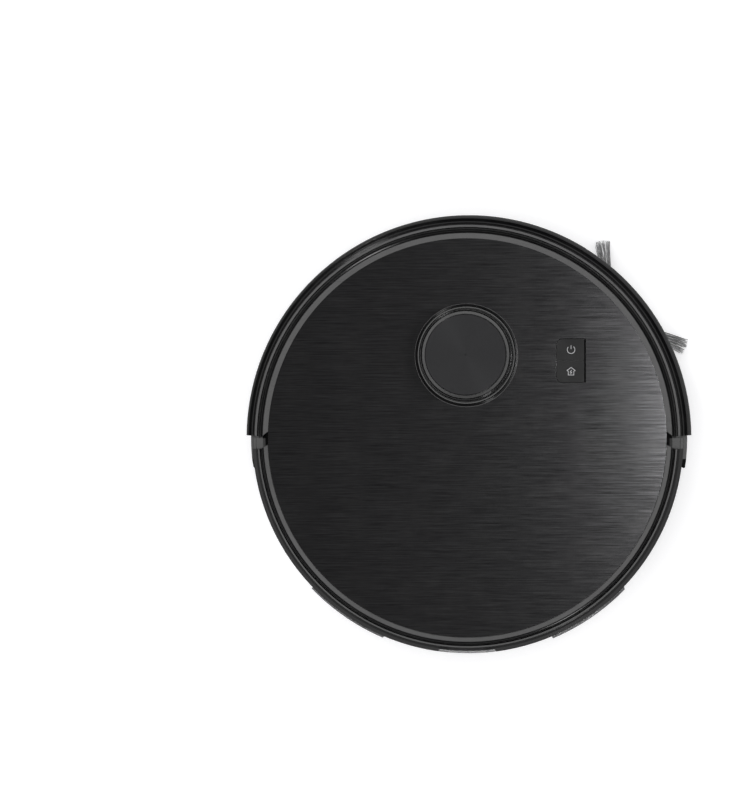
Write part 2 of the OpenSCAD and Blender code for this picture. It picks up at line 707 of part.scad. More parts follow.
module brush_guard() color("#35353a") difference() {
    block(-house_half - wall, house_half + wall, house_front - wall, house_back + wall, floor_gap - 1.4,
        floor_gap + 3);
    for (x = [-1, 0, 1]) block(x * 2 * bar_x - bar_x + 1.5, x * 2 * bar_x + bar_x - 1.5,
        house_front + 1, house_back - 2, 0, floor_gap + 4);
}

// ---- side brush ----

module at_side() translate([side_x, side_y, 0]) children();

module side_brush_hub() color("#2a2a2c") at_side() difference() {
    union() {
        rod(13, floor_gap - 2.5, floor_gap + 3);
        rod(3.4, floor_gap + 3 - eps, side_roof + 10);
        for (a = [38, 158, 278]) rotate([0, 0, a]) translate([10, 0, floor_gap - 2])
            rotate([0, 8, 0]) block(0, 15, -4, 4, -1.4, 2);
    }
    rod(4, floor_gap - 4, floor_gap - 0.5);
}

module side_brush_tufts() color("#707074") at_side() for (a = [38, 158, 278]) rotate([0, 0, a])
    translate([22, 0, floor_gap - 5]) rotate([0, 5, 0]) linear_extrude(2.4)
        polygon([[3, -2.6], [3, 2.6], [side_reach - 22.2, 5.6], [side_reach - 22, 0],
            [side_reach - 22.2, -5.6]]);

module side_brush_motor() color("#404048") at_side() difference() {
    rotate([0, 0, 39.9]) union() {
        block(-10, 28, -14, 14, side_roof + wall, side_roof + 15);
        rod(10, side_roof + 15 - eps, split_z - 11, [17, 0]);
    }
    rod(3.4 + slip, side_roof, side_roof + 12);
}

// ---- suction ----

module fan_housing() color("#303036") difference() {
    intersection() {
        fan_shell();
        rod(body_r - wall - 0.2, 0, body_h);
    }
    rod(fan_r - 2, fan_low + 2, fan_top - 2, [fan_x, fan_y]);
    block(window_x - window_half + 4, window_x + window_half - 6, fan_y, bay_front, window_low + 20.6,
        window_high - 1);
    block(fan_x + 12, body_r + 1, exhaust_low + 2, exhaust_high - 2, 50.2, 58.4);
}

// The round fan case with its intake towards the bin and its exhaust towards the side
module fan_shell() {
    rod(fan_r, fan_low, fan_top, [fan_x, fan_y]);
    block(window_x - window_half + 2, window_x + window_half - 4, fan_y, bay_front - wall,
        window_low + 18.6, window_high + 1);
    block(fan_x + 10, body_r, exhaust_low, exhaust_high, 48.6, 60);
}

module impeller() color("#c0c0c8") translate([fan_x, fan_y, 0]) difference() {
    union() {
        rod(22, fan_top - 15, fan_top - 13.4);
        rod(6, fan_top - 15, fan_top - 5);
        for (i = [0 : 8]) rotate([0, 0, i * 40]) translate([5, -0.6, fan_top - 14]) rotate([0, 0, 12])
            cube([16.4, 1.2, 8]);
    }
    rod(1.5 + slip, fan_top - 16, fan_top - 7);
}

module fan_motor() color("silver") translate([fan_x, fan_y, 0]) {
    rod(13, fan_low + 2 + eps, fan_top - 16);
    rod(1.5, fan_top - 16 - eps, fan_top - 7.5);
}

// ---- bin module ----

// The dustbin's outline, shrunk by inset
module bin_outline(inset, z0, z1) intersection() {
    block(-bin_half + inset, bin_half - inset, bin_front + inset, bin_back - inset, z0, z1);
    rod(bin_r - inset, z0 - 1, z1 + 1);
}

module dustbin() color("#4a4a50") difference() {
    union() {
        bin_outline(0, bin_low, bin_top);
        oblong(port_w, port_h, bin_back - 1, flap_y - 2.4, port_z, 2);
    }
    bin_outline(2, bin_low + 2, bin_top + 1);
    oblong(port_w, port_h, bin_back - 3, flap_y, port_z, 0);
    block(inlet_x - inlet_half, inlet_x + inlet_half, bin_front - 1, bin_front + 3, inlet_low,
        inlet_high);
    block(window_x - window_half, window_x + window_half, bin_front - 1, bin_front + 3, window_low,
        window_high - 1);
}

module bin_lid() color("#3a3a40") difference() {
    bin_outline(0, bin_top, module_top);
    block(-18, 18, bin_front + 6, bin_front + 18, bin_top + 0.8, module_top + 1);
}

module filter() color("#e8e8e0") {
    block(window_x - window_half - 2, window_x + window_half + 2, bin_front + 2, bin_front + 5,
        window_low - 2, window_high - 1);
    for (i = [0 : 10]) block(window_x - window_half + i * 4.4, window_x - window_half + 2.2 + i * 4.4,
        bin_front + 5 - eps, bin_front + 15, window_low - 1, window_high - 2);
}

module outlet_flap() color("#2a2a2e") {
    oblong(port_w, port_h, flap_y - 1.8, flap_y, port_z, 1.6);
    block(-16, 16, flap_y - 1.8, flap_y, port_z, flap_pin_z);
    rod_x(1.2, -tab_half - 3, tab_half + 3, flap_y - 0.9, flap_pin_z);
}

module water_tank() color("#8a8a92", 0.8) difference() {
    union() {
        module_prism(module_w / 2, bin_front - 0.3, tank_r, floor_gap, module_top);
        module_prism(tab_half, tab_front + 1, tank_r, module_top - eps, tab_top);
        tank_bands();
    }
    bin_outline(-gap, bin_low - gap, module_top + 1);
    block(-bin_half - gap, bin_half + gap, 0, bin_front + 1, bin_low - gap, module_top + 1);
    oblong(port_w, port_h, bin_back, flap_y - 2, port_z, 2 + gap);
    block(-tab_half - 6, tab_half + 6, flap_y - 2.4, body_r, port_z - port_h / 2 - 2.6,
        flap_pin_z + 2);
    rod_x(1.2 + slip, -tab_half - 9, tab_half + 9, flap_y - 0.9, flap_pin_z);
    tank_hollow();
    rod(5, module_top - 6, module_top + 1, [50, bin_back + 10]);
    block(-15.4, 15.4, tank_r - 8, body_r, tab_top - 8.4, tab_top - 1.6);
}

// Clear bands where the water level shows, one at each back corner
module tank_bands() both_sides() rotate([0, 0, 44]) rotate_extrude(angle = 23) polygon([
    [tank_r - 1.2, floor_gap + 6], [tank_r - 0.1, floor_gap + 6], [body_r + band_proud, floor_gap + 12],
    [body_r + band_proud, module_top - 3], [tank_r - 0.1, module_top - 0.6],
    [tank_r - 1.2, module_top - 0.6]]);

module tank_hollow() {
    module_prism(module_w / 2 - tank_t, bin_front + 1.5, tank_r - tank_t, floor_gap + tank_t,
        bin_low - gap - tank_t);
    difference() {
        module_prism(module_w / 2 - tank_t, bin_back + gap + tank_t, tank_r - tank_t,
            floor_gap + tank_t, module_top - tank_t);
        block(-tab_half - 8, tab_half + 8, 0, body_r, bin_low - gap - tank_t, module_top);
    }
}

module filler_plug() color("#101010") {
    rod(4.9, module_top - tank_t - 1, module_top - 0.4, [50, bin_back + 10]);
}

module release_button() color("#b8b8bc") {
    block(-15, 15, tank_r - 5, tank_r - 0.6, tab_top - 8, tab_top - 2);
}

module mop_bracket() color("#6a6a70") {
    difference() {
        module_prism(module_w / 2 - 22, bay_front + 14, tank_r - 12, floor_gap - 5, floor_gap - 0.1);
        for (s = [-1, 1]) block(s * 60 - 14, s * 60 + 14, bay_front + 34, bay_front + 64,
            floor_gap - 2.6, floor_gap + 1);
    }
}

module mop_cloth() color("#9a9aa0") module_prism(module_w / 2 - 20, bay_front + 12, tank_r - 10, 0,
    floor_gap - 5);

base_shell();
top_cover();
top_plate();
bumper();
bumper_window();
bumper_springs();
bumper_switches();
turret_base();
turret_cover();
turret_disc();
laser_rotor();
laser_lenses();
laser_bracket();
laser_motor();
motor_pulley();
drive_belt();
power_button();
home_button();
button_board();
main_board();
battery_pack();
battery_door();
charging_contacts();
speaker();
cliff_windows();
housing_screws();
left_wheel();
left_tyre();
left_swing_arm();
left_wheel_motor();
right_wheel();
right_tyre();
right_swing_arm();
right_wheel_motor();
pivot_pins();
wheel_springs();
caster_fork();
caster_wheel();
caster_axle();
brush_housing();
brush_core();
brush_blades();
brush_bearing();
brush_motor();
brush_guard();
side_brush_hub();
side_brush_tufts();
side_brush_motor();
fan_housing();
impeller();
fan_motor();
dustbin();
bin_lid();
filter();
outlet_flap();
release_button();
water_tank();
filler_plug();
mop_bracket();
mop_cloth();
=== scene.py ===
import json
import math
import random

import bmesh
import bpy
from mathutils import Matrix, Vector, noise

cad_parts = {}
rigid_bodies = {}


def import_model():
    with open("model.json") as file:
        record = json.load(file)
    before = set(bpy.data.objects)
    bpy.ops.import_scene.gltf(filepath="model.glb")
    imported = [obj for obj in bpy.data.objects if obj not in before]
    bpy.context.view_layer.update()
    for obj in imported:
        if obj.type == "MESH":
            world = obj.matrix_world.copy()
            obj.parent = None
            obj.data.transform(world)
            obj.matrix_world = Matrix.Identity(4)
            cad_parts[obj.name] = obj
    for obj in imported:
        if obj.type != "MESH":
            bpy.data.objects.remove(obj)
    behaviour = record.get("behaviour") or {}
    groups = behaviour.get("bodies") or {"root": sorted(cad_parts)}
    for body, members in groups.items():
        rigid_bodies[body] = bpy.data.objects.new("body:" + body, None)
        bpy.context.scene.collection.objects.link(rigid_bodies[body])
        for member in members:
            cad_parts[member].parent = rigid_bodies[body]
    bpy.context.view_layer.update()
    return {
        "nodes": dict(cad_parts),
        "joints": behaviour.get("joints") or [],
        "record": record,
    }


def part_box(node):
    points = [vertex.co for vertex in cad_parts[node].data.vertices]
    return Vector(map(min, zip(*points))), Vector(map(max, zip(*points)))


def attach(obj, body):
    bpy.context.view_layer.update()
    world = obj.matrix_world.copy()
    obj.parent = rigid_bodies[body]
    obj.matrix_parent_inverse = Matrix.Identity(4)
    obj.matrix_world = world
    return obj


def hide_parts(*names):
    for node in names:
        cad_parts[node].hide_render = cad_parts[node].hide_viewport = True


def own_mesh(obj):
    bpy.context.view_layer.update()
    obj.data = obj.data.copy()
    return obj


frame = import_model()
cadNodes = frame["nodes"]
scene = bpy.context.scene
print("frame loaded with", len(cadNodes), "parts")

# Camera straight above, a little to one side
cameraValues = {
    "lens": 142.6,
    "place": (-0.100, 0.0, 2.580),
    "aim": (0.0790, -0.0297, 0.080),
    "up": (0, -1, 0),
}


def makeCamera(values):
    data = bpy.data.cameras.new("studioCamera")
    data.lens = values["lens"]
    data.sensor_width = 36
    data.clip_start = 0.01
    camera = bpy.data.objects.new("studioCamera", data)
    scene.collection.objects.link(camera)
    forward = (Vector(values["aim"]) - Vector(values["place"])).normalized()
    right = forward.cross(Vector(values["up"])).normalized()
    up = right.cross(forward)
    turn = Matrix((right, up, -forward)).transposed()
    camera.matrix_world = Matrix.Translation(values["place"]) @ turn.to_4x4()
    scene.camera = camera


makeCamera(cameraValues)
scene.view_settings.view_transform = "Standard"


def newNode(tree, kind, **settings):
    node = tree.nodes.new("ShaderNode" + kind)
    for key, value in settings.items():
        setattr(node, key, value)
    return node


def feed(tree, value, socket):
    if isinstance(value, bpy.types.NodeSocket):
        tree.links.new(value, socket)
    elif value is not None:
        socket.default_value = value


def calc(tree, operation, a, b=None, clamp=False):
    node = newNode(tree, "Math", operation=operation, use_clamp=clamp)
    feed(tree, a, node.inputs[0])
    feed(tree, b, node.inputs[1])
    return node.outputs[0]


def remap(tree, value, fromLow, fromHigh, toLow, toHigh):
    node = newNode(tree, "MapRange")
    for socket, item in zip(node.inputs, (value, fromLow, fromHigh, toLow, toHigh)):
        feed(tree, item, socket)
    return node.outputs[0]


def mixColour(tree, share, a, b):
    node = newNode(tree, "Mix", data_type="RGBA")
    for socket, item in zip((node.inputs[0], node.inputs[6], node.inputs[7]), (share, a, b)):
        feed(tree, (*item, 1) if isinstance(item, tuple) and len(item) == 3 else item, socket)
    return node.outputs[2]


def noiseOf(tree, vector, scale, detail=2.0, rough=0.5):
    node = newNode(tree, "TexNoise")
    feed(tree, vector, node.inputs["Vector"])
    feed(tree, scale, node.inputs["Scale"])
    feed(tree, detail, node.inputs["Detail"])
    feed(tree, rough, node.inputs["Roughness"])
    return node.outputs["Fac"]


# near and far: painted reflection with painted shade: how bright glossy parts see the floor, darkened near
# the robot up to nearTo and lighter beyond farFrom
floorValues = {"size": 14.0, "z": -0.0003, "tone": (0.86, 0.86, 0.87), "glow": 0.35,
               "near": 0.12, "far": 0.70, "nearTo": 0.25, "farFrom": 0.55}


def makeFloor(values):
    half, z = values["size"] / 2, values["z"]
    mesh = bpy.data.meshes.new("floor")
    mesh.from_pydata([(-half, -half, z), (half, -half, z), (half, half, z), (-half, half, z)],
                     [], [(0, 1, 2, 3)])
    floor = bpy.data.objects.new("floor", mesh)
    scene.collection.objects.link(floor)
    material = bpy.data.materials.new("floorPaper")
    material.use_nodes = True
    tree = material.node_tree
    tree.nodes.clear()
    paper = newNode(tree, "BsdfPrincipled")
    paper.inputs["Base Color"].default_value = (*values["tone"], 1)
    paper.inputs["Roughness"].default_value = 0.9
    paper.inputs["Specular IOR Level"].default_value = 0.1
    paper.inputs["Emission Color"].default_value = (1, 1, 1, 1)
    paper.inputs["Emission Strength"].default_value = values["glow"]
    # painted reflection: glossy rays see this emission instead of the paper, with painted shade darkening
    # it near the robot
    paintedFloorReflection = newNode(tree, "Emission")  # what glossy parts mirror of it
    paintedFloorReflection.inputs["Color"].default_value = (1, 1, 1, 1)
    reach = newNode(tree, "VectorMath", operation="LENGTH")
    feed(tree, newNode(tree, "NewGeometry").outputs["Position"], reach.inputs[0])
    # painted shade: the floor's reflected brightness falls towards the robot
    level = remap(tree, reach.outputs["Value"], values["nearTo"], values["farFrom"],
                  values["near"], values["far"])
    feed(tree, level, paintedFloorReflection.inputs["Strength"])
    ray = newNode(tree, "LightPath")
    mirror = newNode(tree, "MixShader")
    clear = newNode(tree, "BsdfTransparent")
    side = newNode(tree, "NewGeometry")
    pick = newNode(tree, "MixShader")
    out = newNode(tree, "OutputMaterial")
    tree.links.new(ray.outputs["Is Glossy Ray"], mirror.inputs[0])
    tree.links.new(paper.outputs[0], mirror.inputs[1])
    tree.links.new(paintedFloorReflection.outputs[0], mirror.inputs[2])
    tree.links.new(side.outputs["Backfacing"], pick.inputs[0])  # seen through from below
    tree.links.new(mirror.outputs[0], pick.inputs[1])
    tree.links.new(clear.outputs[0], pick.inputs[2])
    tree.links.new(pick.outputs[0], out.inputs[0])
    mesh.materials.append(material)


makeFloor(floorValues)

skyValues = {
    "seen": (0.93, 0.93, 0.94),
    "fill": 0.85,
    # share of straight up, and how bright the room is in that direction for reflections
    "glossy": [(0.0, 0.85), (0.10, 0.35), (0.22, 0.02), (0.90, 0.02), (0.97, 0.15), (1.0, 0.60)],
}


def makeSky(values):
    sky = bpy.data.worlds.new("studioRoom")
    scene.world = sky
    sky.use_nodes = True
    tree = sky.node_tree
    tree.nodes.clear()
    way = newNode(tree, "TexCoord")
    parts = newNode(tree, "SeparateXYZ")
    ramp = newNode(tree, "ValToRGB")
    tree.links.new(way.outputs["Generated"], parts.inputs[0])
    tree.links.new(parts.outputs["Z"], ramp.inputs[0])
    points = ramp.color_ramp.elements
    while len(points) < len(values["glossy"]):
        points.new(0.5)
    for point, (place, level) in zip(points, values["glossy"]):
        point.position = place
        point.color = (level, level, level, 1)
    ray = newNode(tree, "LightPath")
    fill = (values["fill"],) * 3
    tone = mixColour(tree, ray.outputs["Is Glossy Ray"], fill, ramp.outputs[0])
    tone = mixColour(tree, ray.outputs["Is Camera Ray"], tone, values["seen"])
    back = newNode(tree, "Background")
    out = newNode(tree, "OutputWorld")
    tree.links.new(tone, back.inputs["Color"])
    tree.links.new(back.outputs[0], out.inputs[0])


makeSky(skyValues)

lightValues = {
    "overhead": {"place": (0.12, 0, 3.4), "aim": (0.12, 0, 0), "size": (1.3, 1.3), "watts": 13.5},
    "plateGlow": {"place": (-0.345, -0.05, 0.40), "aim": (-0.11, -0.06, 0.09), "size": (0.05, 0.30),
                  "watts": 38, "only": "deckPlate"},
    "frontStrip": {"place": (1.3, -2.2, 1.2), "aim": (0, 0, 0.05), "size": (0.5, 1.4), "watts": 18},
    "backStrip": {"place": (-1.2, 2.3, 1.0), "aim": (0, 0, 0.05), "size": (0.5, 1.4), "watts": 16},
}


def makeLights(values):
    for name, lamp in values.items():
        data = bpy.data.lights.new(name, "AREA")
        data.shape = "RECTANGLE"
        data.size, data.size_y = lamp["size"]
        data.energy = lamp["watts"]
        light = bpy.data.objects.new(name, data)
        scene.collection.objects.link(light)
        light.location = lamp["place"]
        away = Vector(lamp["place"]) - Vector(lamp["aim"])
        light.rotation_mode = "QUATERNION"
        light.rotation_quaternion = away.to_track_quat("Z", "Y")
        light.visible_camera = False


makeLights(lightValues)
print("camera, floor and lights ready")


# A light with "only" shines on that one piece
def aimLights(values):
    for name, lamp in values.items():
        if "only" in lamp:
            lit = bpy.data.collections.new(name + "Lit")
            lit.objects.link(bpy.data.objects[lamp["only"]])
            bpy.data.objects[name].light_linking.receiver_collection = lit


# A shader node group with named sockets
def startGroup(name, inputs, outputs):
    group = bpy.data.node_groups.new(name, "ShaderNodeTree")
    for label, kind, value in inputs:
        socket = group.interface.new_socket(name=label, in_out="INPUT", socket_type=kind)
        socket.default_value = value
    for label, kind in outputs:
        group.interface.new_socket(name=label, in_out="OUTPUT", socket_type=kind)
    return group, group.nodes.new("NodeGroupInput"), group.nodes.new("NodeGroupOutput")


floatSocket, vectorSocket = "NodeSocketFloat", "NodeSocketVector"


# Fine moulded texture and a slow change of tone
def makeMouldedGrain():
    group, given, made = startGroup("mouldedGrain", [("Size", floatSocket, 1500)],
                                    [("Tone", floatSocket), ("Height", floatSocket)])
    place = newNode(group, "TexCoord").outputs["Object"]
    fine = noiseOf(group, place, given.outputs["Size"], 3, 0.6)
    slow = noiseOf(group, place, 11, 2)
    middle = noiseOf(group, place, 85, 3)
    tone = calc(group, "ADD", calc(group, "MULTIPLY", slow, 0.6), calc(group, "MULTIPLY", middle, 0.4))
    feed(group, tone, made.inputs["Tone"])
    feed(group, fine, made.inputs["Height"])
    return group


# Straight brushing along X: long thin lines
def makeBrushedLines():
    group, given, made = startGroup("brushedLines", [
        ("Along", floatSocket, 22), ("Across", floatSocket, 900)],
        [("Lines", floatSocket), ("Height", floatSocket)])
    place = newNode(group, "TexCoord").outputs["Object"]
    found = []
    for share, detail in ((1.0, 3.0), (3.1, 2.0)):
        stretch = newNode(group, "CombineXYZ")
        feed(group, calc(group, "MULTIPLY", given.outputs["Along"], share), stretch.inputs[0])
        feed(group, calc(group, "MULTIPLY", given.outputs["Across"], share), stretch.inputs[1])
        scaled = newNode(group, "VectorMath", operation="MULTIPLY")
        feed(group, place, scaled.inputs[0])
        feed(group, stretch.outputs[0], scaled.inputs[1])
        found.append(noiseOf(group, scaled.outputs[0], 1, detail, 0.65))
    lines = calc(group, "ADD", calc(group, "MULTIPLY", found[0], 0.6),
                 calc(group, "MULTIPLY", found[1], 0.4))
    feed(group, remap(group, lines, 0.30, 0.70, 0, 1), made.inputs["Lines"])
    feed(group, found[1], made.inputs["Height"])
    return group


# Turning marks round an upright axis
def makeTurnedRings():
    group, given, made = startGroup("turnedRings", [
        ("Centre", vectorSocket, (0, 0, 0)), ("Pitch", floatSocket, 2600)],
        [("Rings", floatSocket), ("Reach", floatSocket)])
    place = newNode(group, "TexCoord").outputs["Object"]
    offset = newNode(group, "VectorMath", operation="SUBTRACT")
    feed(group, place, offset.inputs[0])
    feed(group, given.outputs["Centre"], offset.inputs[1])
    flat = newNode(group, "VectorMath", operation="MULTIPLY")
    feed(group, offset.outputs[0], flat.inputs[0])
    flat.inputs[1].default_value = (1, 1, 0)
    reach = newNode(group, "VectorMath", operation="LENGTH")
    feed(group, flat.outputs[0], reach.inputs[0])
    turned = newNode(group, "TexNoise", noise_dimensions="1D")
    feed(group, calc(group, "MULTIPLY", reach.outputs["Value"], given.outputs["Pitch"]), turned.inputs["W"])
    feed(group, 1.0, turned.inputs["Scale"])
    feed(group, 3.0, turned.inputs["Detail"])
    feed(group, turned.outputs["Fac"], made.inputs["Rings"])
    feed(group, reach.outputs["Value"], made.inputs["Reach"])
    return group


# Rounded edges for the light, and where hands have rubbed them
def makeEdgeRub():
    group, given, made = startGroup("edgeRub", [("Radius", floatSocket, 0.0004)],
                                    [("Rub", floatSocket), ("Normal", vectorSocket)])
    rounded = newNode(group, "Bevel", samples=4)
    feed(group, given.outputs["Radius"], rounded.inputs["Radius"])
    flat = newNode(group, "NewGeometry").outputs["Normal"]
    meet = newNode(group, "VectorMath", operation="DOT_PRODUCT")
    feed(group, rounded.outputs[0], meet.inputs[0])
    feed(group, flat, meet.inputs[1])
    place = newNode(group, "TexCoord").outputs["Object"]
    patchy = remap(group, noiseOf(group, place, 240, 3), 0.40, 0.62, 0, 1)
    edge = remap(group, meet.outputs["Value"], 0.985, 0.86, 0, 1)
    feed(group, calc(group, "MULTIPLY", edge, patchy), made.inputs["Rub"])
    feed(group, rounded.outputs[0], made.inputs["Normal"])
    return group


# A little settled dust, and hairline marks from cleaning
def makeHandling():
    group, given, made = startGroup("handling", [
        ("Dust", floatSocket, 0.1), ("Marks", floatSocket, 0.2)],
        [("Dust", floatSocket), ("Marks", floatSocket)])
    place = newNode(group, "TexCoord").outputs["Object"]
    up = newNode(group, "SeparateXYZ")
    feed(group, newNode(group, "NewGeometry").outputs["Normal"], up.inputs[0])
    facing = remap(group, up.outputs["Z"], 0.2, 0.95, 0.15, 1)
    speck = newNode(group, "TexVoronoi")
    feed(group, place, speck.inputs["Vector"])
    feed(group, 420.0, speck.inputs["Scale"])
    spots = remap(group, speck.outputs["Distance"], 0.02, 0.09, 1, 0)
    film = remap(group, noiseOf(group, place, 38, 4, 0.6), 0.48, 0.75, 0, 0.5)
    dust = calc(group, "MULTIPLY", calc(group, "ADD", spots, film, True), facing)
    feed(group, calc(group, "MULTIPLY", dust, given.outputs["Dust"]), made.inputs["Dust"])
    turn = newNode(group, "Mapping")
    feed(group, place, turn.inputs["Vector"])
    turn.inputs["Rotation"].default_value = (0.5, 0.3, 0.9)
    turn.inputs["Scale"].default_value = (40, 1400, 600)
    hair = remap(group, noiseOf(group, turn.outputs[0], 1, 1), 0.66, 0.74, 0, 1)
    feed(group, calc(group, "MULTIPLY", hair, given.outputs["Marks"]), made.inputs["Marks"])
    return group


mouldedGrain = makeMouldedGrain()
brushedLines = makeBrushedLines()
turnedRings = makeTurnedRings()
edgeRub = makeEdgeRub()
handling = makeHandling()
print("node groups ready")


def placeGroup(tree, group, **values):
    node = tree.nodes.new("ShaderNodeGroup")
    node.node_tree = group
    for label, value in values.items():
        feed(tree, value, node.inputs[label])
    return node


def newFinish(name, **values):
    material = bpy.data.materials.new(name)
    material.use_nodes = True
    tree = material.node_tree
    tree.nodes.clear()
    shader = newNode(tree, "BsdfPrincipled")
    out = newNode(tree, "OutputMaterial")
    tree.links.new(shader.outputs[0], out.inputs[0])
    for label, value in values.items():
        shader.inputs[label.replace("_", " ")].default_value = value
    return material, tree, shader


def addBump(tree, shader, height, strength, distance, under=None):
    bump = newNode(tree, "Bump")
    bump.inputs["Strength"].default_value = strength
    bump.inputs["Distance"].default_value = distance
    feed(tree, height, bump.inputs["Height"])
    feed(tree, under, bump.inputs["Normal"])
    tree.links.new(bump.outputs[0], shader.inputs["Normal"])


plasticValues = {
    "shell_black": {"dark": (0.0022, 0.0022, 0.0024), "light": (0.0038, 0.0038, 0.0042),
                    "rough": (0.16, 0.22), "grain": 1700, "bump": 0.05, "edge": 0.00040, "dust": 0.03,
                    "marks": 0.25, "rubbed": (0.05, 0.05, 0.05), "rub": 0.35},
    "bumper_black": {"dark": (0.0020, 0.0020, 0.0022), "light": (0.0036, 0.0036, 0.0039),
                     "rough": (0.14, 0.20), "grain": 1500, "bump": 0.03, "edge": 0.00040, "dust": 0.03,
                     "marks": 0.35, "rubbed": (0.06, 0.06, 0.06), "rub": 0.45},
    "button_black": {"dark": (0.0040, 0.0040, 0.0044), "light": (0.0065, 0.0065, 0.0070),
                     "rough": (0.42, 0.50), "grain": 2600, "bump": 0.08, "edge": 0.00035, "dust": 0.02,
                     "marks": 0.3, "rubbed": (0.05, 0.05, 0.05), "rub": 0.3},
    "inner_grey": {"dark": (0.020, 0.020, 0.022), "light": (0.032, 0.032, 0.035),
                   "rough": (0.40, 0.52), "grain": 1300, "bump": 0.16, "edge": 0.00030, "dust": 0.10,
                   "marks": 0.2, "rubbed": (0.09, 0.09, 0.09), "rub": 0.4},
    "light_grey": {"dark": (0.34, 0.34, 0.35), "light": (0.44, 0.44, 0.45),
                   "rough": (0.34, 0.44), "grain": 1600, "bump": 0.10, "edge": 0.00035, "dust": 0.05,
                   "marks": 0.25, "rubbed": (0.55, 0.55, 0.56), "rub": 0.4},
    "rubber_black": {"dark": (0.016, 0.016, 0.016), "light": (0.026, 0.026, 0.026),
                     "rough": (0.58, 0.70), "grain": 1100, "bump": 0.25, "edge": 0.00040, "dust": 0.14,
                     "marks": 0.1, "rubbed": (0.06, 0.06, 0.06), "rub": 0.4},
    "tyre_rubber": {"dark": (0.013, 0.013, 0.013), "light": (0.024, 0.023, 0.022),
                    "rough": (0.66, 0.82), "grain": 900, "bump": 0.40, "edge": 0.00040, "dust": 0.30,
                    "marks": 0.0, "rubbed": (0.08, 0.075, 0.07), "rub": 0.7},
    "blade_grey": {"dark": (0.16, 0.16, 0.17), "light": (0.23, 0.23, 0.24),
                   "rough": (0.46, 0.56), "grain": 1000, "bump": 0.20, "edge": 0.00030, "dust": 0.16,
                   "marks": 0.0, "rubbed": (0.32, 0.32, 0.33), "rub": 0.5},
}
dustTone = (0.34, 0.33, 0.31)


def plasticFinish(name, values):
    material, tree, shader = newFinish(name)
    grain = placeGroup(tree, mouldedGrain, Size=values["grain"])
    rub = placeGroup(tree, edgeRub, Radius=values["edge"])
    worn = placeGroup(tree, handling, Dust=values["dust"], Marks=values["marks"])
    tone = mixColour(tree, grain.outputs["Tone"], values["dark"], values["light"])
    rubbed = calc(tree, "MULTIPLY", rub.outputs["Rub"], values["rub"])
    tone = mixColour(tree, rubbed, tone, values["rubbed"])
    feed(tree, mixColour(tree, worn.outputs["Dust"], tone, dustTone), shader.inputs["Base Color"])
    low, high = values["rough"]
    rough = remap(tree, grain.outputs["Tone"], 0.35, 0.65, low, high)
    rough = calc(tree, "ADD", rough, calc(tree, "MULTIPLY", worn.outputs["Marks"], 0.18))
    rough = calc(tree, "ADD", rough, calc(tree, "MULTIPLY", worn.outputs["Dust"], 0.5), True)
    feed(tree, rough, shader.inputs["Roughness"])
    addBump(tree, shader, grain.outputs["Height"], values["bump"], 0.0002, rub.outputs["Normal"])
    return material


# rim: painted shade, the near-black colour given to the plate's sloping edges
brushedValues = {"dark": (0.003, 0.003, 0.0032), "light": (0.019, 0.019, 0.0195), "rough": (0.29, 0.37),
                 "along": 24, "across": 1150, "anisotropy": 0.55, "rim": (0.0008, 0.0008, 0.0008)}


def brushedFinish(name, values):
    material, tree, shader = newFinish(name, Anisotropic=values["anisotropy"], Metallic=1.0,
                                       Anisotropic_Rotation=0.25)
    lines = placeGroup(tree, brushedLines, Along=values["along"], Across=values["across"])
    rub = placeGroup(tree, edgeRub, Radius=0.0003)
    worn = placeGroup(tree, handling, Dust=0.012, Marks=0.0)
    tone = mixColour(tree, lines.outputs["Lines"], values["dark"], values["light"])
    tone = mixColour(tree, worn.outputs["Dust"], tone, dustTone)
    # painted shade: the rims get the near-black rim colour by how far they tilt from straight up
    slope = newNode(tree, "SeparateXYZ")
    feed(tree, rub.outputs["Normal"], slope.inputs[0])
    level = remap(tree, slope.outputs["Z"], 0.97, 0.999, 0, 1)  # painted shade: the sloping rims are darkened, so only the flat top takes the glow
    feed(tree, mixColour(tree, level, values["rim"], tone), shader.inputs["Base Color"])
    feed(tree, remap(tree, lines.outputs["Lines"], 0, 1, *values["rough"]), shader.inputs["Roughness"])
    addBump(tree, shader, lines.outputs["Height"], 0.10, 0.0002, rub.outputs["Normal"])
    along = newNode(tree, "Tangent", direction_type="UV_MAP", uv_map="planar")
    tree.links.new(along.outputs[0], shader.inputs["Tangent"])
    return material


discLow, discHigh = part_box("turret_disc")
discValues = {"dark": (0.022, 0.022, 0.023), "light": (0.034, 0.034, 0.035), "rough": (0.30, 0.38),
              "pitch": 2400, "anisotropy": 0.75, "dot": (0.0006, 0.0011)}


def turnedFinish(name, values):
    material, tree, shader = newFinish(name, Anisotropic=values["anisotropy"], Metallic=1.0,
                                       Anisotropic_Rotation=0.25)
    centre = (discLow + discHigh) / 2
    rings = placeGroup(tree, turnedRings, Centre=tuple(centre), Pitch=values["pitch"])
    rub = placeGroup(tree, edgeRub, Radius=0.0003)
    dot = remap(tree, rings.outputs["Reach"], *values["dot"], 0.5, 0)
    tone = mixColour(tree, rings.outputs["Rings"], values["dark"], values["light"])
    feed(tree, mixColour(tree, dot, tone, (0.01, 0.01, 0.01)), shader.inputs["Base Color"])
    feed(tree, remap(tree, rings.outputs["Rings"], 0.3, 0.7, *values["rough"]), shader.inputs["Roughness"])
    addBump(tree, shader, rings.outputs["Rings"], 0.06, 0.0002, rub.outputs["Normal"])
    around = newNode(tree, "Tangent", direction_type="RADIAL", axis="Z")
    tree.links.new(around.outputs[0], shader.inputs["Tangent"])
    return material


metalValues = {
    "steel": {"dark": (0.42, 0.42, 0.43), "light": (0.58, 0.58, 0.59), "rough": (0.24, 0.38)},
    "contact_plate": {"dark": (0.60, 0.52, 0.38), "light": (0.74, 0.67, 0.52), "rough": (0.18, 0.30)},
}


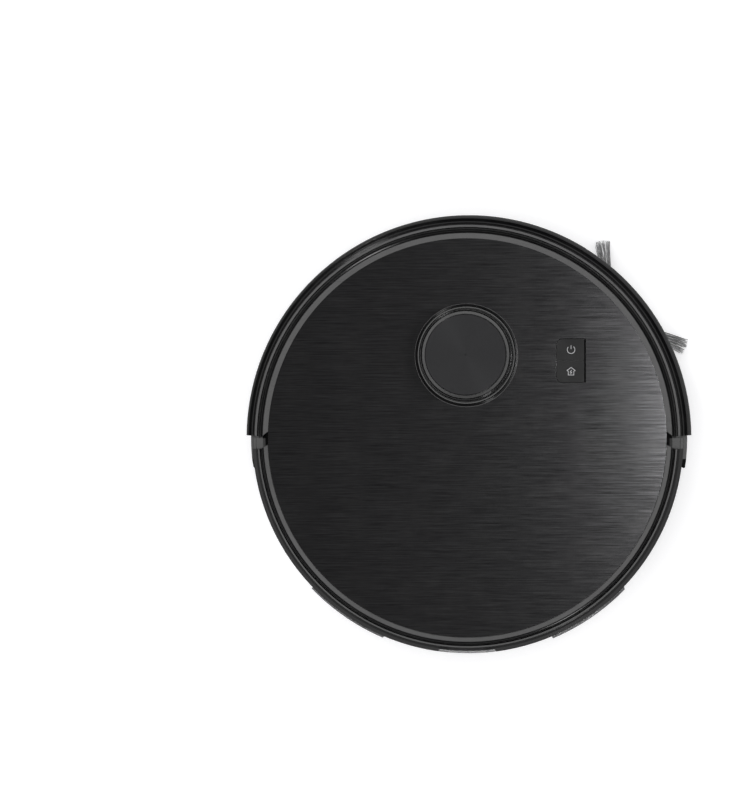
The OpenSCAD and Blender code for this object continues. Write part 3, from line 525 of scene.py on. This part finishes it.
def metalFinish(name, values):
    material, tree, shader = newFinish(name, Metallic=1.0)
    grain = placeGroup(tree, mouldedGrain, Size=2200)
    rub = placeGroup(tree, edgeRub, Radius=0.0003)
    worn = placeGroup(tree, handling, Dust=0.05, Marks=0.8)
    tone = mixColour(tree, grain.outputs["Tone"], values["dark"], values["light"])
    feed(tree, mixColour(tree, worn.outputs["Dust"], tone, dustTone), shader.inputs["Base Color"])
    low, high = values["rough"]
    rough = remap(tree, grain.outputs["Tone"], 0.35, 0.65, low, high)
    rough = calc(tree, "ADD", rough, calc(tree, "MULTIPLY", worn.outputs["Marks"], 0.2), True)
    feed(tree, rough, shader.inputs["Roughness"])
    addBump(tree, shader, grain.outputs["Height"], 0.06, 0.0001, rub.outputs["Normal"])
    return material


# Dark infrared window: near black with a trace of red
def windowFinish(name, dark, light, rough):
    material, tree, shader = newFinish(name, Coat_Weight=0.6, Coat_Roughness=0.04, IOR=1.52)
    grain = placeGroup(tree, mouldedGrain, Size=300)
    rub = placeGroup(tree, edgeRub, Radius=0.0002)
    worn = placeGroup(tree, handling, Dust=0.02, Marks=0.3)
    tone = mixColour(tree, grain.outputs["Tone"], dark, light)
    feed(tree, mixColour(tree, worn.outputs["Dust"], tone, dustTone), shader.inputs["Base Color"])
    feed(tree, remap(tree, grain.outputs["Tone"], 0.3, 0.7, rough, rough + 0.06),
         shader.inputs["Roughness"])
    addBump(tree, shader, grain.outputs["Height"], 0.02, 0.0002, rub.outputs["Normal"])
    return material


lensLow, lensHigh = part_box("laser_lenses")
lensValues = {"aside": 0.013, "pupil": 0.0018, "ring": 0.0030,
              "dark": (0.004, 0.005, 0.010), "light": (0.020, 0.040, 0.085)}


# Coated glass: a dark pupil inside a blue ring, by the distance from each lens's axis
def lensFinish(name, values):
    material, tree, shader = newFinish(name, Coat_Weight=1.0, Coat_Roughness=0.02, IOR=1.6)
    place = newNode(tree, "TexCoord").outputs["Object"]
    parts = newNode(tree, "SeparateXYZ")
    feed(tree, place, parts.inputs[0])
    near = calc(tree, "SUBTRACT", calc(tree, "ABSOLUTE", parts.outputs["X"]), values["aside"])
    rise = calc(tree, "SUBTRACT", parts.outputs["Z"], (lensLow.z + lensHigh.z) / 2)
    reach = calc(tree, "SQRT", calc(tree, "ADD", calc(tree, "POWER", near, 2.0),
                                    calc(tree, "POWER", rise, 2.0)))
    ring = remap(tree, reach, values["pupil"], values["ring"], 0, 1)
    feed(tree, mixColour(tree, ring, values["dark"], values["light"]), shader.inputs["Base Color"])
    grain = placeGroup(tree, mouldedGrain, Size=900)
    feed(tree, remap(tree, grain.outputs["Tone"], 0.3, 0.7, 0.03, 0.10), shader.inputs["Roughness"])
    addBump(tree, shader, grain.outputs["Height"], 0.01, 0.0001)
    return material


boardValues = {"tracks": (("Scale", 160.0), ("Mortar Size", 0.07), ("Mortar Smooth", 0.3)),
               "colours": (("Color1", (0.010, 0.060, 0.022, 1)), ("Color2", (0.012, 0.085, 0.030, 1)),
                           ("Mortar", (0.030, 0.150, 0.055, 1))), "padScale": 210.0}


# Green board with copper tracks under the solder mask, and bare pads
def boardFinish(name, values):
    material, tree, shader = newFinish(name, Coat_Weight=0.3, Coat_Roughness=0.2)
    place = newNode(tree, "TexCoord").outputs["Object"]
    tracks = newNode(tree, "TexBrick", offset=0.5, squash=0.7)
    feed(tree, place, tracks.inputs["Vector"])
    for label, value in values["tracks"] + values["colours"]:
        tracks.inputs[label].default_value = value
    pads = newNode(tree, "TexVoronoi")
    feed(tree, place, pads.inputs["Vector"])
    feed(tree, values["padScale"], pads.inputs["Scale"])
    bare = remap(tree, pads.outputs["Distance"], 0.16, 0.20, 1, 0)
    feed(tree, mixColour(tree, bare, tracks.outputs["Color"], (0.62, 0.56, 0.40)),
         shader.inputs["Base Color"])
    feed(tree, remap(tree, bare, 0, 1, 0.42, 0.25), shader.inputs["Roughness"])
    feed(tree, calc(tree, "MULTIPLY", bare, 0.9), shader.inputs["Metallic"])
    addBump(tree, shader, tracks.outputs["Fac"], 0.3, 0.0002)
    return material


# Shrink wrap with soft creases
def wrapFinish(name):
    material, tree, shader = newFinish(name, Coat_Weight=0.4, Coat_Roughness=0.15)
    place = newNode(tree, "TexCoord").outputs["Object"]
    crease = noiseOf(tree, place, 120, 5, 0.62)
    grain = placeGroup(tree, mouldedGrain, Size=600)
    feed(tree, mixColour(tree, grain.outputs["Tone"], (0.018, 0.055, 0.150), (0.035, 0.095, 0.230)),
         shader.inputs["Base Color"])
    feed(tree, remap(tree, crease, 0.3, 0.7, 0.22, 0.40), shader.inputs["Roughness"])
    addBump(tree, shader, crease, 0.35, 0.0008)
    return material


# Clear, faintly frosted plastic of the water tank
def smokeFinish(name):
    material, tree, shader = newFinish(name, Transmission_Weight=0.94, IOR=1.49)
    grain = placeGroup(tree, mouldedGrain, Size=500)
    rub = placeGroup(tree, edgeRub, Radius=0.0004)
    worn = placeGroup(tree, handling, Dust=0.03, Marks=0.4)
    tone = mixColour(tree, grain.outputs["Tone"], (0.80, 0.80, 0.81), (0.88, 0.88, 0.89))
    feed(tree, mixColour(tree, worn.outputs["Dust"], tone, dustTone), shader.inputs["Base Color"])
    rough = remap(tree, grain.outputs["Tone"], 0.3, 0.7, 0.10, 0.18)
    rough = calc(tree, "ADD", rough, calc(tree, "MULTIPLY", worn.outputs["Marks"], 0.2))
    feed(tree, rough, shader.inputs["Roughness"])
    addBump(tree, shader, grain.outputs["Height"], 0.02, 0.0003, rub.outputs["Normal"])
    return material


# Folded filter paper: fibres and faint grey from use
def paperFinish(name):
    material, tree, shader = newFinish(name, Sheen_Weight=0.15)
    place = newNode(tree, "TexCoord").outputs["Object"]
    fibre = noiseOf(tree, place, 2400, 5, 0.75)
    worn = placeGroup(tree, handling, Dust=0.35, Marks=0.0)
    tone = mixColour(tree, fibre, (0.62, 0.62, 0.58), (0.82, 0.82, 0.78))
    feed(tree, mixColour(tree, worn.outputs["Dust"], tone, dustTone), shader.inputs["Base Color"])
    feed(tree, remap(tree, fibre, 0.3, 0.7, 0.80, 0.95), shader.inputs["Roughness"])
    addBump(tree, shader, fibre, 0.4, 0.0003)
    return material


# Looped microfibre: short curls, with painted shade darkening the gaps between them
def microfibreFinish(name):
    material, tree, shader = newFinish(name, Sheen_Weight=0.5, Sheen_Roughness=0.4)
    place = newNode(tree, "TexCoord").outputs["Object"]
    loops = newNode(tree, "TexVoronoi")
    feed(tree, place, loops.inputs["Vector"])
    feed(tree, 620.0, loops.inputs["Scale"])
    fuzz = noiseOf(tree, place, 2600, 4, 0.7)
    # painted shade: the hollows between the loops get the darker tone
    paintedGapShade = remap(tree, loops.outputs["Distance"], 0.15, 0.65, 0, 1)
    tone = mixColour(tree, paintedGapShade, (0.42, 0.42, 0.44), (0.17, 0.17, 0.18))
    feed(tree, mixColour(tree, calc(tree, "MULTIPLY", fuzz, 0.35), tone, (0.55, 0.55, 0.57)),
         shader.inputs["Base Color"])
    feed(tree, remap(tree, fuzz, 0.3, 0.7, 0.86, 0.98), shader.inputs["Roughness"])
    height = calc(tree, "SUBTRACT", calc(tree, "MULTIPLY", fuzz, 0.4), loops.outputs["Distance"])
    addBump(tree, shader, height, 0.7, 0.0010)
    return material


# Nylon strands: each strand has its own shade, paler towards the worn tip
def bristleFinish(name):
    material, tree, shader = newFinish(name)
    own = newNode(tree, "Attribute", attribute_name="strandShade").outputs["Fac"]
    reach = newNode(tree, "Attribute", attribute_name="strandReach").outputs["Fac"]
    tone = mixColour(tree, own, (0.030, 0.030, 0.032), (0.42, 0.42, 0.43))
    feed(tree, mixColour(tree, calc(tree, "MULTIPLY", reach, 0.35), tone, (0.50, 0.50, 0.50)),
         shader.inputs["Base Color"])
    feed(tree, remap(tree, own, 0, 1, 0.34, 0.50), shader.inputs["Roughness"])
    place = newNode(tree, "TexCoord").outputs["Object"]
    addBump(tree, shader, noiseOf(tree, place, 3000, 2), 0.15, 0.0001)
    return material


finishes = {name: plasticFinish(name, values) for name, values in plasticValues.items()}
finishes.update({name: metalFinish(name, values) for name, values in metalValues.items()})
finishes["plate_brushed"] = brushedFinish("plate_brushed", brushedValues)
finishes["turret_metal"] = turnedFinish("turret_metal", discValues)
finishes["dark_window"] = windowFinish("dark_window", (0.006, 0.004, 0.005), (0.014, 0.007, 0.008), 0.06)
finishes["lens"] = lensFinish("lens", lensValues)
finishes["circuit_board"] = boardFinish("circuit_board", boardValues)
finishes["battery_wrap"] = wrapFinish("battery_wrap")
finishes["tank_smoke"] = smokeFinish("tank_smoke")
finishes["filter_white"] = paperFinish("filter_white")
finishes["mop_grey"] = microfibreFinish("mop_grey")
finishes["bristle"] = bristleFinish("bristle")

for row in frame["record"]["subparts"]:
    part = cadNodes[row["node"]]
    part.data.materials.clear()
    part.data.materials.append(finishes[row["material_slot"]])
print("materials ready:", len(finishes))


# Puts a mesh on its body, with its finish
def finishPiece(name, mesh, slotName, body, smooth=True):
    mesh.polygons.foreach_set("use_smooth", [smooth] * len(mesh.polygons))
    mesh.materials.append(finishes[slotName])
    piece = bpy.data.objects.new(name, mesh)
    scene.collection.objects.link(piece)
    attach(piece, body)
    return piece


def meshOf(name, points, faces):
    mesh = bpy.data.meshes.new(name)
    mesh.from_pydata(points, [], faces)
    mesh.update()
    return mesh


# A tube along a path, with a radius at each point and a cap at each end
def addTube(points, faces, path, radii, sides):
    path = [Vector(p) for p in path]
    first = len(points)
    across = None
    for i, (at, radius) in enumerate(zip(path, radii)):
        along = (path[min(i + 1, len(path) - 1)] - path[max(i - 1, 0)]).normalized()
        across = across or along.orthogonal()
        across = (across - along * across.dot(along)).normalized()
        other = along.cross(across)
        for k in range(sides):
            turn = 2 * math.pi * k / sides
            points.append(at + radius * (across * math.cos(turn) + other * math.sin(turn)))
    for i in range(len(path) - 1):
        for k in range(sides):
            a, b = first + i * sides + k, first + i * sides + (k + 1) % sides
            faces.append((a, b, b + sides, a + sides))
    faces.append(tuple(first + k for k in reversed(range(sides))))
    faces.append(tuple(first + (len(path) - 1) * sides + k for k in range(sides)))
    return len(points) - first


def ringPoints(x, y, radius, count, start=0.0):
    return [(x + radius * math.cos(start + 2 * math.pi * i / count),
             y + radius * math.sin(start + 2 * math.pi * i / count)) for i in range(count)]


# A flat plate from an outline and its holes, from z0 up to z1
def holedPlate(name, loops, z0, z1):
    shape = bmesh.new()
    for loop in loops:
        corners = [shape.verts.new((x, y, z1)) for x, y in loop]
        for i, corner in enumerate(corners):
            shape.edges.new((corner, corners[(i + 1) % len(corners)]))
    bmesh.ops.triangle_fill(shape, use_beauty=True, use_dissolve=False, edges=shape.edges[:])
    made = bmesh.ops.extrude_face_region(shape, geom=shape.faces[:])
    lower = [item for item in made["geom"] if isinstance(item, bmesh.types.BMVert)]
    bmesh.ops.translate(shape, vec=(0, 0, z0 - z1), verts=lower)
    bmesh.ops.recalc_face_normals(shape, faces=shape.faces[:])
    mesh = bpy.data.meshes.new(name)
    shape.to_mesh(mesh)
    shape.free()
    return mesh


def roundEdges(piece, width, segments=3):
    bevel = piece.modifiers.new("roundEdges", "BEVEL")
    bevel.width = width
    bevel.segments = segments
    bevel.limit_method = "ANGLE"
    bevel.angle_limit = math.radians(50)
    bevel.use_clamp_overlap = False
    bevel.harden_normals = True


plateLow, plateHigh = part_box("top_plate")
ringLow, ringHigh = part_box("turret_base")
powerLow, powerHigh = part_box("power_button")
homeLow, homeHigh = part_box("home_button")

deckValues = {"rim": 0.00012, "turretGap": 0.0004, "buttonGap": 0.0003, "buttonEdge": 0.0011,
              "buttonRound": 0.0053, "roundness": 288, "uvWidth": 0.36}


def makeDeckPlate(values):
    radius = (plateHigh.x - plateLow.x) / 2
    ring = (ringHigh.x - ringLow.x) / 2 + values["turretGap"]
    ringY = (ringLow.y + ringHigh.y) / 2
    gap = values["buttonGap"]
    x0, x1 = powerLow.x - values["buttonEdge"], powerHigh.x + gap
    y0, y1 = powerLow.y - gap, homeHigh.y + gap
    bend = values["buttonRound"]
    turns = [(bend * math.cos(math.pi * i / 24), bend * math.sin(math.pi * i / 24)) for i in range(13)]
    opening = [(x0, y0)] + [(x1 - bend + u, y0 + bend - v) for u, v in reversed(turns)]
    opening += [(x1 - bend + u, y1 - bend + v) for u, v in turns] + [(x0, y1)]
    loops = [ringPoints(0, 0, radius, values["roundness"]), ringPoints(0, ringY, ring, 128), opening]
    mesh = holedPlate("deckPlate", loops, plateLow.z, plateHigh.z)
    flat = mesh.uv_layers.new(name="planar")
    width = values["uvWidth"]
    for corner in mesh.loops:
        spot = mesh.vertices[corner.vertex_index].co
        flat.data[corner.index].uv = (spot.x / width + 0.5, spot.y / width + 0.5)
    piece = finishPiece("deckPlate", mesh, "plate_brushed", "chassis")
    roundEdges(piece, values["rim"])
    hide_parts("top_plate")


makeDeckPlate(deckValues)

# Side brush: three tufts of separate strands
tuftValues = {"angles": (38, 158, 278), "strands": 84, "root": 0.0205, "reach": 0.064, "rootZ": 0.0062,
              "tipZ": 0.0026, "rootSpread": 0.0022, "tipSpread": 0.0066, "thick": 0.00021, "steps": 7,
              "sides": 5, "uneven": 0.0035, "roundTip": 0.0012, "bend": 0.0012, "layer": (0.0007, 0.0004),
              "seed": 4}


def makeSideTufts(values):
    rng = random.Random(values["seed"])
    joint = next(j for j in frame["joints"] if j["child"] == "side_brush")
    hub = Vector((*joint["pos_m"][:2], 0))
    points, faces, shades, reaches = [], [], [], []
    steps, sides = values["steps"], values["sides"]
    layer, thicker = values["layer"]
    for angle in values["angles"]:
        turn = Matrix.Rotation(math.radians(angle), 4, "Z")
        for _ in range(values["strands"]):
            side = rng.uniform(-1, 1)
            level = rng.uniform(-1, 1)
            reach = values["reach"] - rng.random() ** 2 * values["uneven"] - abs(side) * values["roundTip"]
            bend = rng.uniform(-1, 1) * values["bend"]
            path = []
            for i in range(steps):
                t = i / (steps - 1)
                spread = values["rootSpread"] + (values["tipSpread"] - values["rootSpread"]) * t ** 1.3
                x = values["root"] + (reach - values["root"]) * t
                y = side * spread + bend * math.sin(math.pi * t)
                z = values["rootZ"] + (values["tipZ"] - values["rootZ"]) * t ** 1.2
                z += level * (layer + thicker * t)
                path.append(hub + turn @ Vector((x, y, z)))
            radii = [values["thick"] * (1 - 0.35 * i / (steps - 1)) for i in range(steps)]
            count = addTube(points, faces, path, radii, sides)
            shade = rng.choice((0.05, 0.12, 0.3, 0.55, 0.8, 1.0))
            shades += [shade] * count
            reaches += [i // sides / (steps - 1) for i in range(count)]
    mesh = meshOf("sideTufts", points, faces)
    for label, found in (("strandShade", shades), ("strandReach", reaches)):
        mesh.attributes.new(label, "FLOAT", "POINT").data.foreach_set("value", found)
    piece = finishPiece("sideTufts", mesh, "bristle", "side_brush")
    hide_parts("side_brush_tufts")


makeSideTufts(tuftValues)

# Main brush: rubber blades and rows of bristles, in runs between the guard bars
bladeLow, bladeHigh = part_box("brush_blades")
rollerValues = {"runs": ((-0.076, -0.029), (-0.023, 0.023), (0.029, 0.076)), "twist": 1100,
                "coreRadius": 0.0090, "bladeRadius": 0.0203, "bristleRadius": 0.0202,
                "rootWidth": 0.0022, "tipWidth": 0.0011, "bladeSink": 0.0006, "bladeLean": 0.0011,
                "bladeStep": 0.0018, "bladeLevels": 5, "tuftStep": 0.0021, "tuftStrands": 7,
                "tuftAside": 0.0004, "tuftLean": 0.0017, "tuftSlide": 0.0011, "tuftSink": 0.0005,
                "tuftUneven": 0.0005, "strandRadii": (0.00012, 0.00012, 0.00009), "seed": 9}
rollerY, rollerZ = (bladeLow.y + bladeHigh.y) / 2, (bladeLow.z + bladeHigh.z) / 2


def rollerPoint(x, radius, angle, twist, aside=0.0):
    turn = math.radians(angle + twist * x)
    y = radius * math.sin(turn) + aside * math.cos(turn)
    z = -radius * math.cos(turn) + aside * math.sin(turn)
    return Vector((x, rollerY + y, rollerZ + z))


def makeRollerBlades(values):
    points, faces = [], []
    root, tip = values["coreRadius"] - values["bladeSink"], values["bladeRadius"]
    twist, levels = values["twist"], values["bladeLevels"]
    for low, high in values["runs"]:
        steps = max(8, round((high - low) / values["bladeStep"]))
        for angle in (0, 120, 240):
            first = len(points)
            for i in range(steps + 1):
                x = low + (high - low) * i / steps
                outline = []
                for k in range(levels + 1):
                    t = k / levels
                    half = (values["rootWidth"] + (values["tipWidth"] - values["rootWidth"]) * t) / 2
                    lean = values["bladeLean"] * t * t
                    outline.append((root + (tip - root) * t, half + lean, -half + lean))
                points += [rollerPoint(x, r, angle, twist, a) for r, a, b in outline]
                points += [rollerPoint(x, r, angle, twist, b) for r, a, b in reversed(outline)]
            ring = 2 * (levels + 1)
            for i in range(steps):
                for k in range(ring):
                    a, b = first + i * ring + k, first + i * ring + (k + 1) % ring
                    faces.append((a, b, b + ring, a + ring))
            faces.append(tuple(first + k for k in reversed(range(ring))))
            faces.append(tuple(first + steps * ring + k for k in range(ring)))
    piece = finishPiece("rollerBlades", meshOf("rollerBlades", points, faces), "blade_grey",
                        "main_brush", smooth=False)
    roundEdges(piece, 0.0003, 2)
    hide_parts("brush_blades")


def makeRollerBristles(values):
    rng = random.Random(values["seed"])
    points, faces, shades, reaches = [], [], [], []
    root, twist = values["coreRadius"] - values["tuftSink"], values["twist"]
    for low, high in values["runs"]:
        steps = round((high - low) / values["tuftStep"])
        for angle in (60, 180, 300):
            for i in range(steps):
                x = low + (high - low) * (i + 0.5) / steps
                for _ in range(values["tuftStrands"]):
                    aside = rng.uniform(-1, 1) * values["tuftAside"]
                    lean = rng.uniform(-1, 1) * values["tuftLean"]
                    slide = rng.uniform(-1, 1) * values["tuftSlide"]
                    reach = values["bristleRadius"] - rng.random() * values["tuftUneven"]
                    path = [rollerPoint(x, root, angle, twist, aside),
                            rollerPoint(x + slide * 0.4, (root + reach) / 2, angle, twist,
                                        aside + lean * 0.4),
                            rollerPoint(x + slide, reach, angle, twist, aside + lean)]
                    count = addTube(points, faces, path, values["strandRadii"], 3)
                    shades += [rng.choice((0.05, 0.15, 0.35, 0.6))] * count
                    reaches += [k // 3 / 2 for k in range(count)]
    mesh = meshOf("rollerBristles", points, faces)
    for label, found in (("strandShade", shades), ("strandReach", reaches)):
        mesh.attributes.new(label, "FLOAT", "POINT").data.foreach_set("value", found)
    finishPiece("rollerBristles", mesh, "bristle", "main_brush")


makeRollerBlades(rollerValues)
makeRollerBristles(rollerValues)
print("brushes ready")

# Springs: one wire each, coiled
springValues = {"sides": 8, "stepsPerTurn": 20}
bumperSpring = {"angles": (-112, -68), "start": 0.1701, "radius": 0.0030, "length": 0.0037, "turns": 3.6,
                "wire": 0.00045, "seat": -0.1575, "keep": 0.3}
wheelSpring = {"radius": 0.0044, "turns": 3.5, "wire": 0.0006}


def coilPath(start, along, radius, length, turns, steps):
    along = along.normalized()
    across = along.orthogonal().normalized()
    other = along.cross(across)
    total = round(turns * steps)
    return [start + along * length * i / total
            + radius * (across * math.cos(2 * math.pi * turns * i / total)
                        + other * math.sin(2 * math.pi * turns * i / total)) for i in range(total + 1)]


def makeBumperSprings(values, spring):
    points, faces = [], []
    low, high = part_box("bumper_springs")
    level = (low.z + high.z) / 2
    for angle in spring["angles"]:
        way = Vector((math.cos(math.radians(angle)), math.sin(math.radians(angle)), 0))
        path = coilPath(way * spring["start"] + Vector((0, 0, level)), way, spring["radius"],
                        spring["length"], spring["turns"], values["stepsPerTurn"])
        addTube(points, faces, path, [spring["wire"]] * len(path), values["sides"])
    piece = finishPiece("bumperCoils", meshOf("bumperCoils", points, faces), "steel", "chassis")
    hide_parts("bumper_springs")
    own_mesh(piece)


# Each coil runs inwards from the outer end of its space, towards the wheel's motor
def makeWheelSprings(values, spring):
    low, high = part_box("wheel_springs")
    y, z = (low.y + high.y) / 2, (low.z + high.z) / 2
    wire = spring["wire"]
    length = high.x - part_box("right_wheel_motor")[1].x - 2 * wire
    points, faces = [], []
    for side in (-1, 1):
        path = coilPath(Vector((side * (high.x - wire), y, z)), Vector((-side, 0, 0)),
                        spring["radius"], length, spring["turns"], values["stepsPerTurn"])
        addTube(points, faces, path, [wire] * len(path), values["sides"])
    piece = finishPiece("suspensionCoils", meshOf("suspensionCoils", points, faces), "steel", "chassis")
    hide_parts("wheel_springs")


makeBumperSprings(springValues, bumperSpring)
makeWheelSprings(springValues, wheelSpring)

# Screws with a cross recess, seen from below
screwLow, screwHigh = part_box("housing_screws")
screwValues = {"places": ((0.058, -0.133), (0.151, 0.008), (0.142, 0.064)), "head": 0.0034,
               "shank": 0.0015, "recess": 0.0012, "slot": 0.00055, "reach": 0.0019,
               "headDepth": 0.0024}


def makeScrews(values):
    z = screwLow.z
    neck = z + values["headDepth"]
    arm, half, deep = values["reach"], values["slot"], z + values["recess"]
    cross = [(half, half), (half, arm), (-half, arm), (-half, half), (-arm, half), (-arm, -half),
             (-half, -half), (-half, -arm), (half, -arm), (half, -half), (arm, -half), (arm, half)]
    rim = ringPoints(0, 0, values["head"], 36)
    shape = bmesh.new()
    for side in (-1, 1):
        for x, y in values["places"]:
            head = bmesh.new()
            head.from_mesh(holedPlate("screwHead", [rim, cross], z, deep))
            lid = holedPlate("screwBack", [rim], deep, neck)
            head.from_mesh(lid)
            shank = holedPlate("screwShank", [ringPoints(0, 0, values["shank"], 20)], neck,
                               screwHigh.z)
            head.from_mesh(shank)
            bmesh.ops.translate(head, vec=(side * x, y, 0), verts=head.verts[:])
            spare = bpy.data.meshes.new("spare")
            head.to_mesh(spare)
            head.free()
            shape.from_mesh(spare)
            for used in (spare, lid, shank):
                bpy.data.meshes.remove(used)
    mesh = bpy.data.meshes.new("crossScrews")
    shape.to_mesh(mesh)
    shape.free()
    piece = finishPiece("crossScrews", mesh, "steel", "chassis", smooth=False)
    roundEdges(piece, 0.00015, 2)
    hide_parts("housing_screws")


makeScrews(screwValues)

# Marks on the two buttons: thin raised strokes
iconValues = {"line": 0.00056, "lift": 0.00006, "size": 0.0030, "aside": 0.0005}


def strokeInto(points, faces, line, width, z, lift, closed=False):
    count = len(line)
    flat = [Vector((x, y, 0)) for x, y in line]
    first = len(points)
    for i, at in enumerate(flat):
        before = flat[i - 1] if i or closed else at
        after = flat[(i + 1) % count] if i < count - 1 or closed else at
        one = (at - before).normalized() if (at - before).length else (after - at).normalized()
        two = (after - at).normalized() if (after - at).length else one
        side = Vector((-(one.y + two.y), one.x + two.x, 0)).normalized()
        reach = width / 2 / max(0.35, side.dot(Vector((-one.y, one.x, 0))))
        for push, level in ((-1, 0), (1, 0), (1, lift), (-1, lift)):
            points.append(at + side * reach * push + Vector((0, 0, z + level)))
    for i in range(count if closed else count - 1):
        a, b = first + 4 * i, first + 4 * ((i + 1) % count)
        for k in range(4):
            faces.append((a + k, a + (k + 1) % 4, b + (k + 1) % 4, b + k))
    if not closed:
        faces.append((first, first + 1, first + 2, first + 3))
        last = first + 4 * (count - 1)
        faces.append((last + 3, last + 2, last + 1, last))


def iconLine(centre, size, shape):
    return [(centre.x - u * size, centre.y - v * size) for u, v in shape]


def makeIcons(values):
    width, lift, size = values["line"], values["lift"], values["size"]
    aside = Vector((values["aside"], 0, 0))
    centre = (powerLow + powerHigh) / 2 - aside
    ring = [(math.sin(math.radians(a)), math.cos(math.radians(a))) for a in range(38, 323, 12)]
    points, faces = [], []
    strokeInto(points, faces, iconLine(centre, size, ring), width, powerHigh.z, lift)
    strokeInto(points, faces, iconLine(centre, size, [(0, 1.15), (0, 0.15)]), width, powerHigh.z, lift)
    finishPiece("powerMark", meshOf("powerMark", points, faces), "light_grey", "power_key", smooth=False)
    centre = (homeLow + homeHigh) / 2 - aside
    house = [(0, 1.15), (1.05, 0.35), (0.72, 0.10), (0.72, -0.85), (-0.72, -0.85), (-0.72, 0.10),
             (-1.05, 0.35)]
    bolt = [(0.16, 0.48), (-0.24, -0.10), (0.20, -0.12), (-0.18, -0.62)]
    points, faces = [], []
    strokeInto(points, faces, iconLine(centre, size, house), width, homeHigh.z, lift, closed=True)
    strokeInto(points, faces, iconLine(centre, size, bolt), width * 0.9, homeHigh.z, lift)
    finishPiece("homeMark", meshOf("homeMark", points, faces), "light_grey", "home_key", smooth=False)


makeIcons(iconValues)
print("springs, screws and button marks ready")

# Mop pad: a sheet with a looped underside and rounded hems
padLow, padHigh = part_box("mop_cloth")
padValues = {"columns": 112, "rows": 44, "curl": 0.0042, "depth": 0.0009, "hem": 0.0022,
             "inset": 0.0004}


def makeMopPad(values):
    columns, rows = values["columns"], values["rows"]
    half = padHigh.x
    radius = padHigh.y
    front = padLow.y
    thick = padHigh.z - padLow.z
    inset = values["inset"]
    points, faces = [], []

    def place(i, j):
        x = (-half + inset) + (2 * half - 2 * inset) * i / columns
        back = math.sqrt(max(radius ** 2 - x ** 2, 0)) - inset
        y = front + inset + (back - front - inset) * j / rows
        edge = min(half - abs(x), y - front, back - y)
        return x, y, max(edge, 0.0)

    for level in (0, 1):
        for i in range(columns + 1):
            for j in range(rows + 1):
                x, y, edge = place(i, j)
                rim = min(edge / values["hem"], 1.0)
                swell = math.sqrt(1 - (1 - rim) ** 2)
                spot = Vector((x, y, 0)) / values["curl"]
                lumps = noise.voronoi(spot, distance_metric="DISTANCE")[0][0]
                if level == 0:
                    z = padLow.z + thick * 0.5 * (1 - swell)
                    z += values["depth"] * min(lumps, 1) * (0.4 + 0.6 * rim)
                    points.append((x, y, max(z, padLow.z)))
                else:
                    z = padHigh.z - thick * 0.4 * (1 - swell) - 0.0003 * lumps * (1 - rim)
                    points.append((x, y, z))
    total = (columns + 1) * (rows + 1)

    def index(i, j, level):
        return level * total + i * (rows + 1) + j

    for i in range(columns):
        for j in range(rows):
            faces.append((index(i, j, 0), index(i, j + 1, 0), index(i + 1, j + 1, 0),
                          index(i + 1, j, 0)))
            faces.append((index(i, j, 1), index(i + 1, j, 1), index(i + 1, j + 1, 1),
                          index(i, j + 1, 1)))
    for i in range(columns):
        for j, flip in ((0, False), (rows, True)):
            wall = (index(i, j, 0), index(i + 1, j, 0), index(i + 1, j, 1), index(i, j, 1))
            faces.append(wall[::-1] if flip else wall)
    for j in range(rows):
        for i, flip in ((0, True), (columns, False)):
            wall = (index(i, j, 0), index(i, j + 1, 0), index(i, j + 1, 1), index(i, j, 1))
            faces.append(wall[::-1] if flip else wall)
    piece = finishPiece("mopPad", meshOf("mopPad", points, faces), "mop_grey", "mop")
    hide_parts("mop_cloth")


makeMopPad(padValues)

aimLights(lightValues)
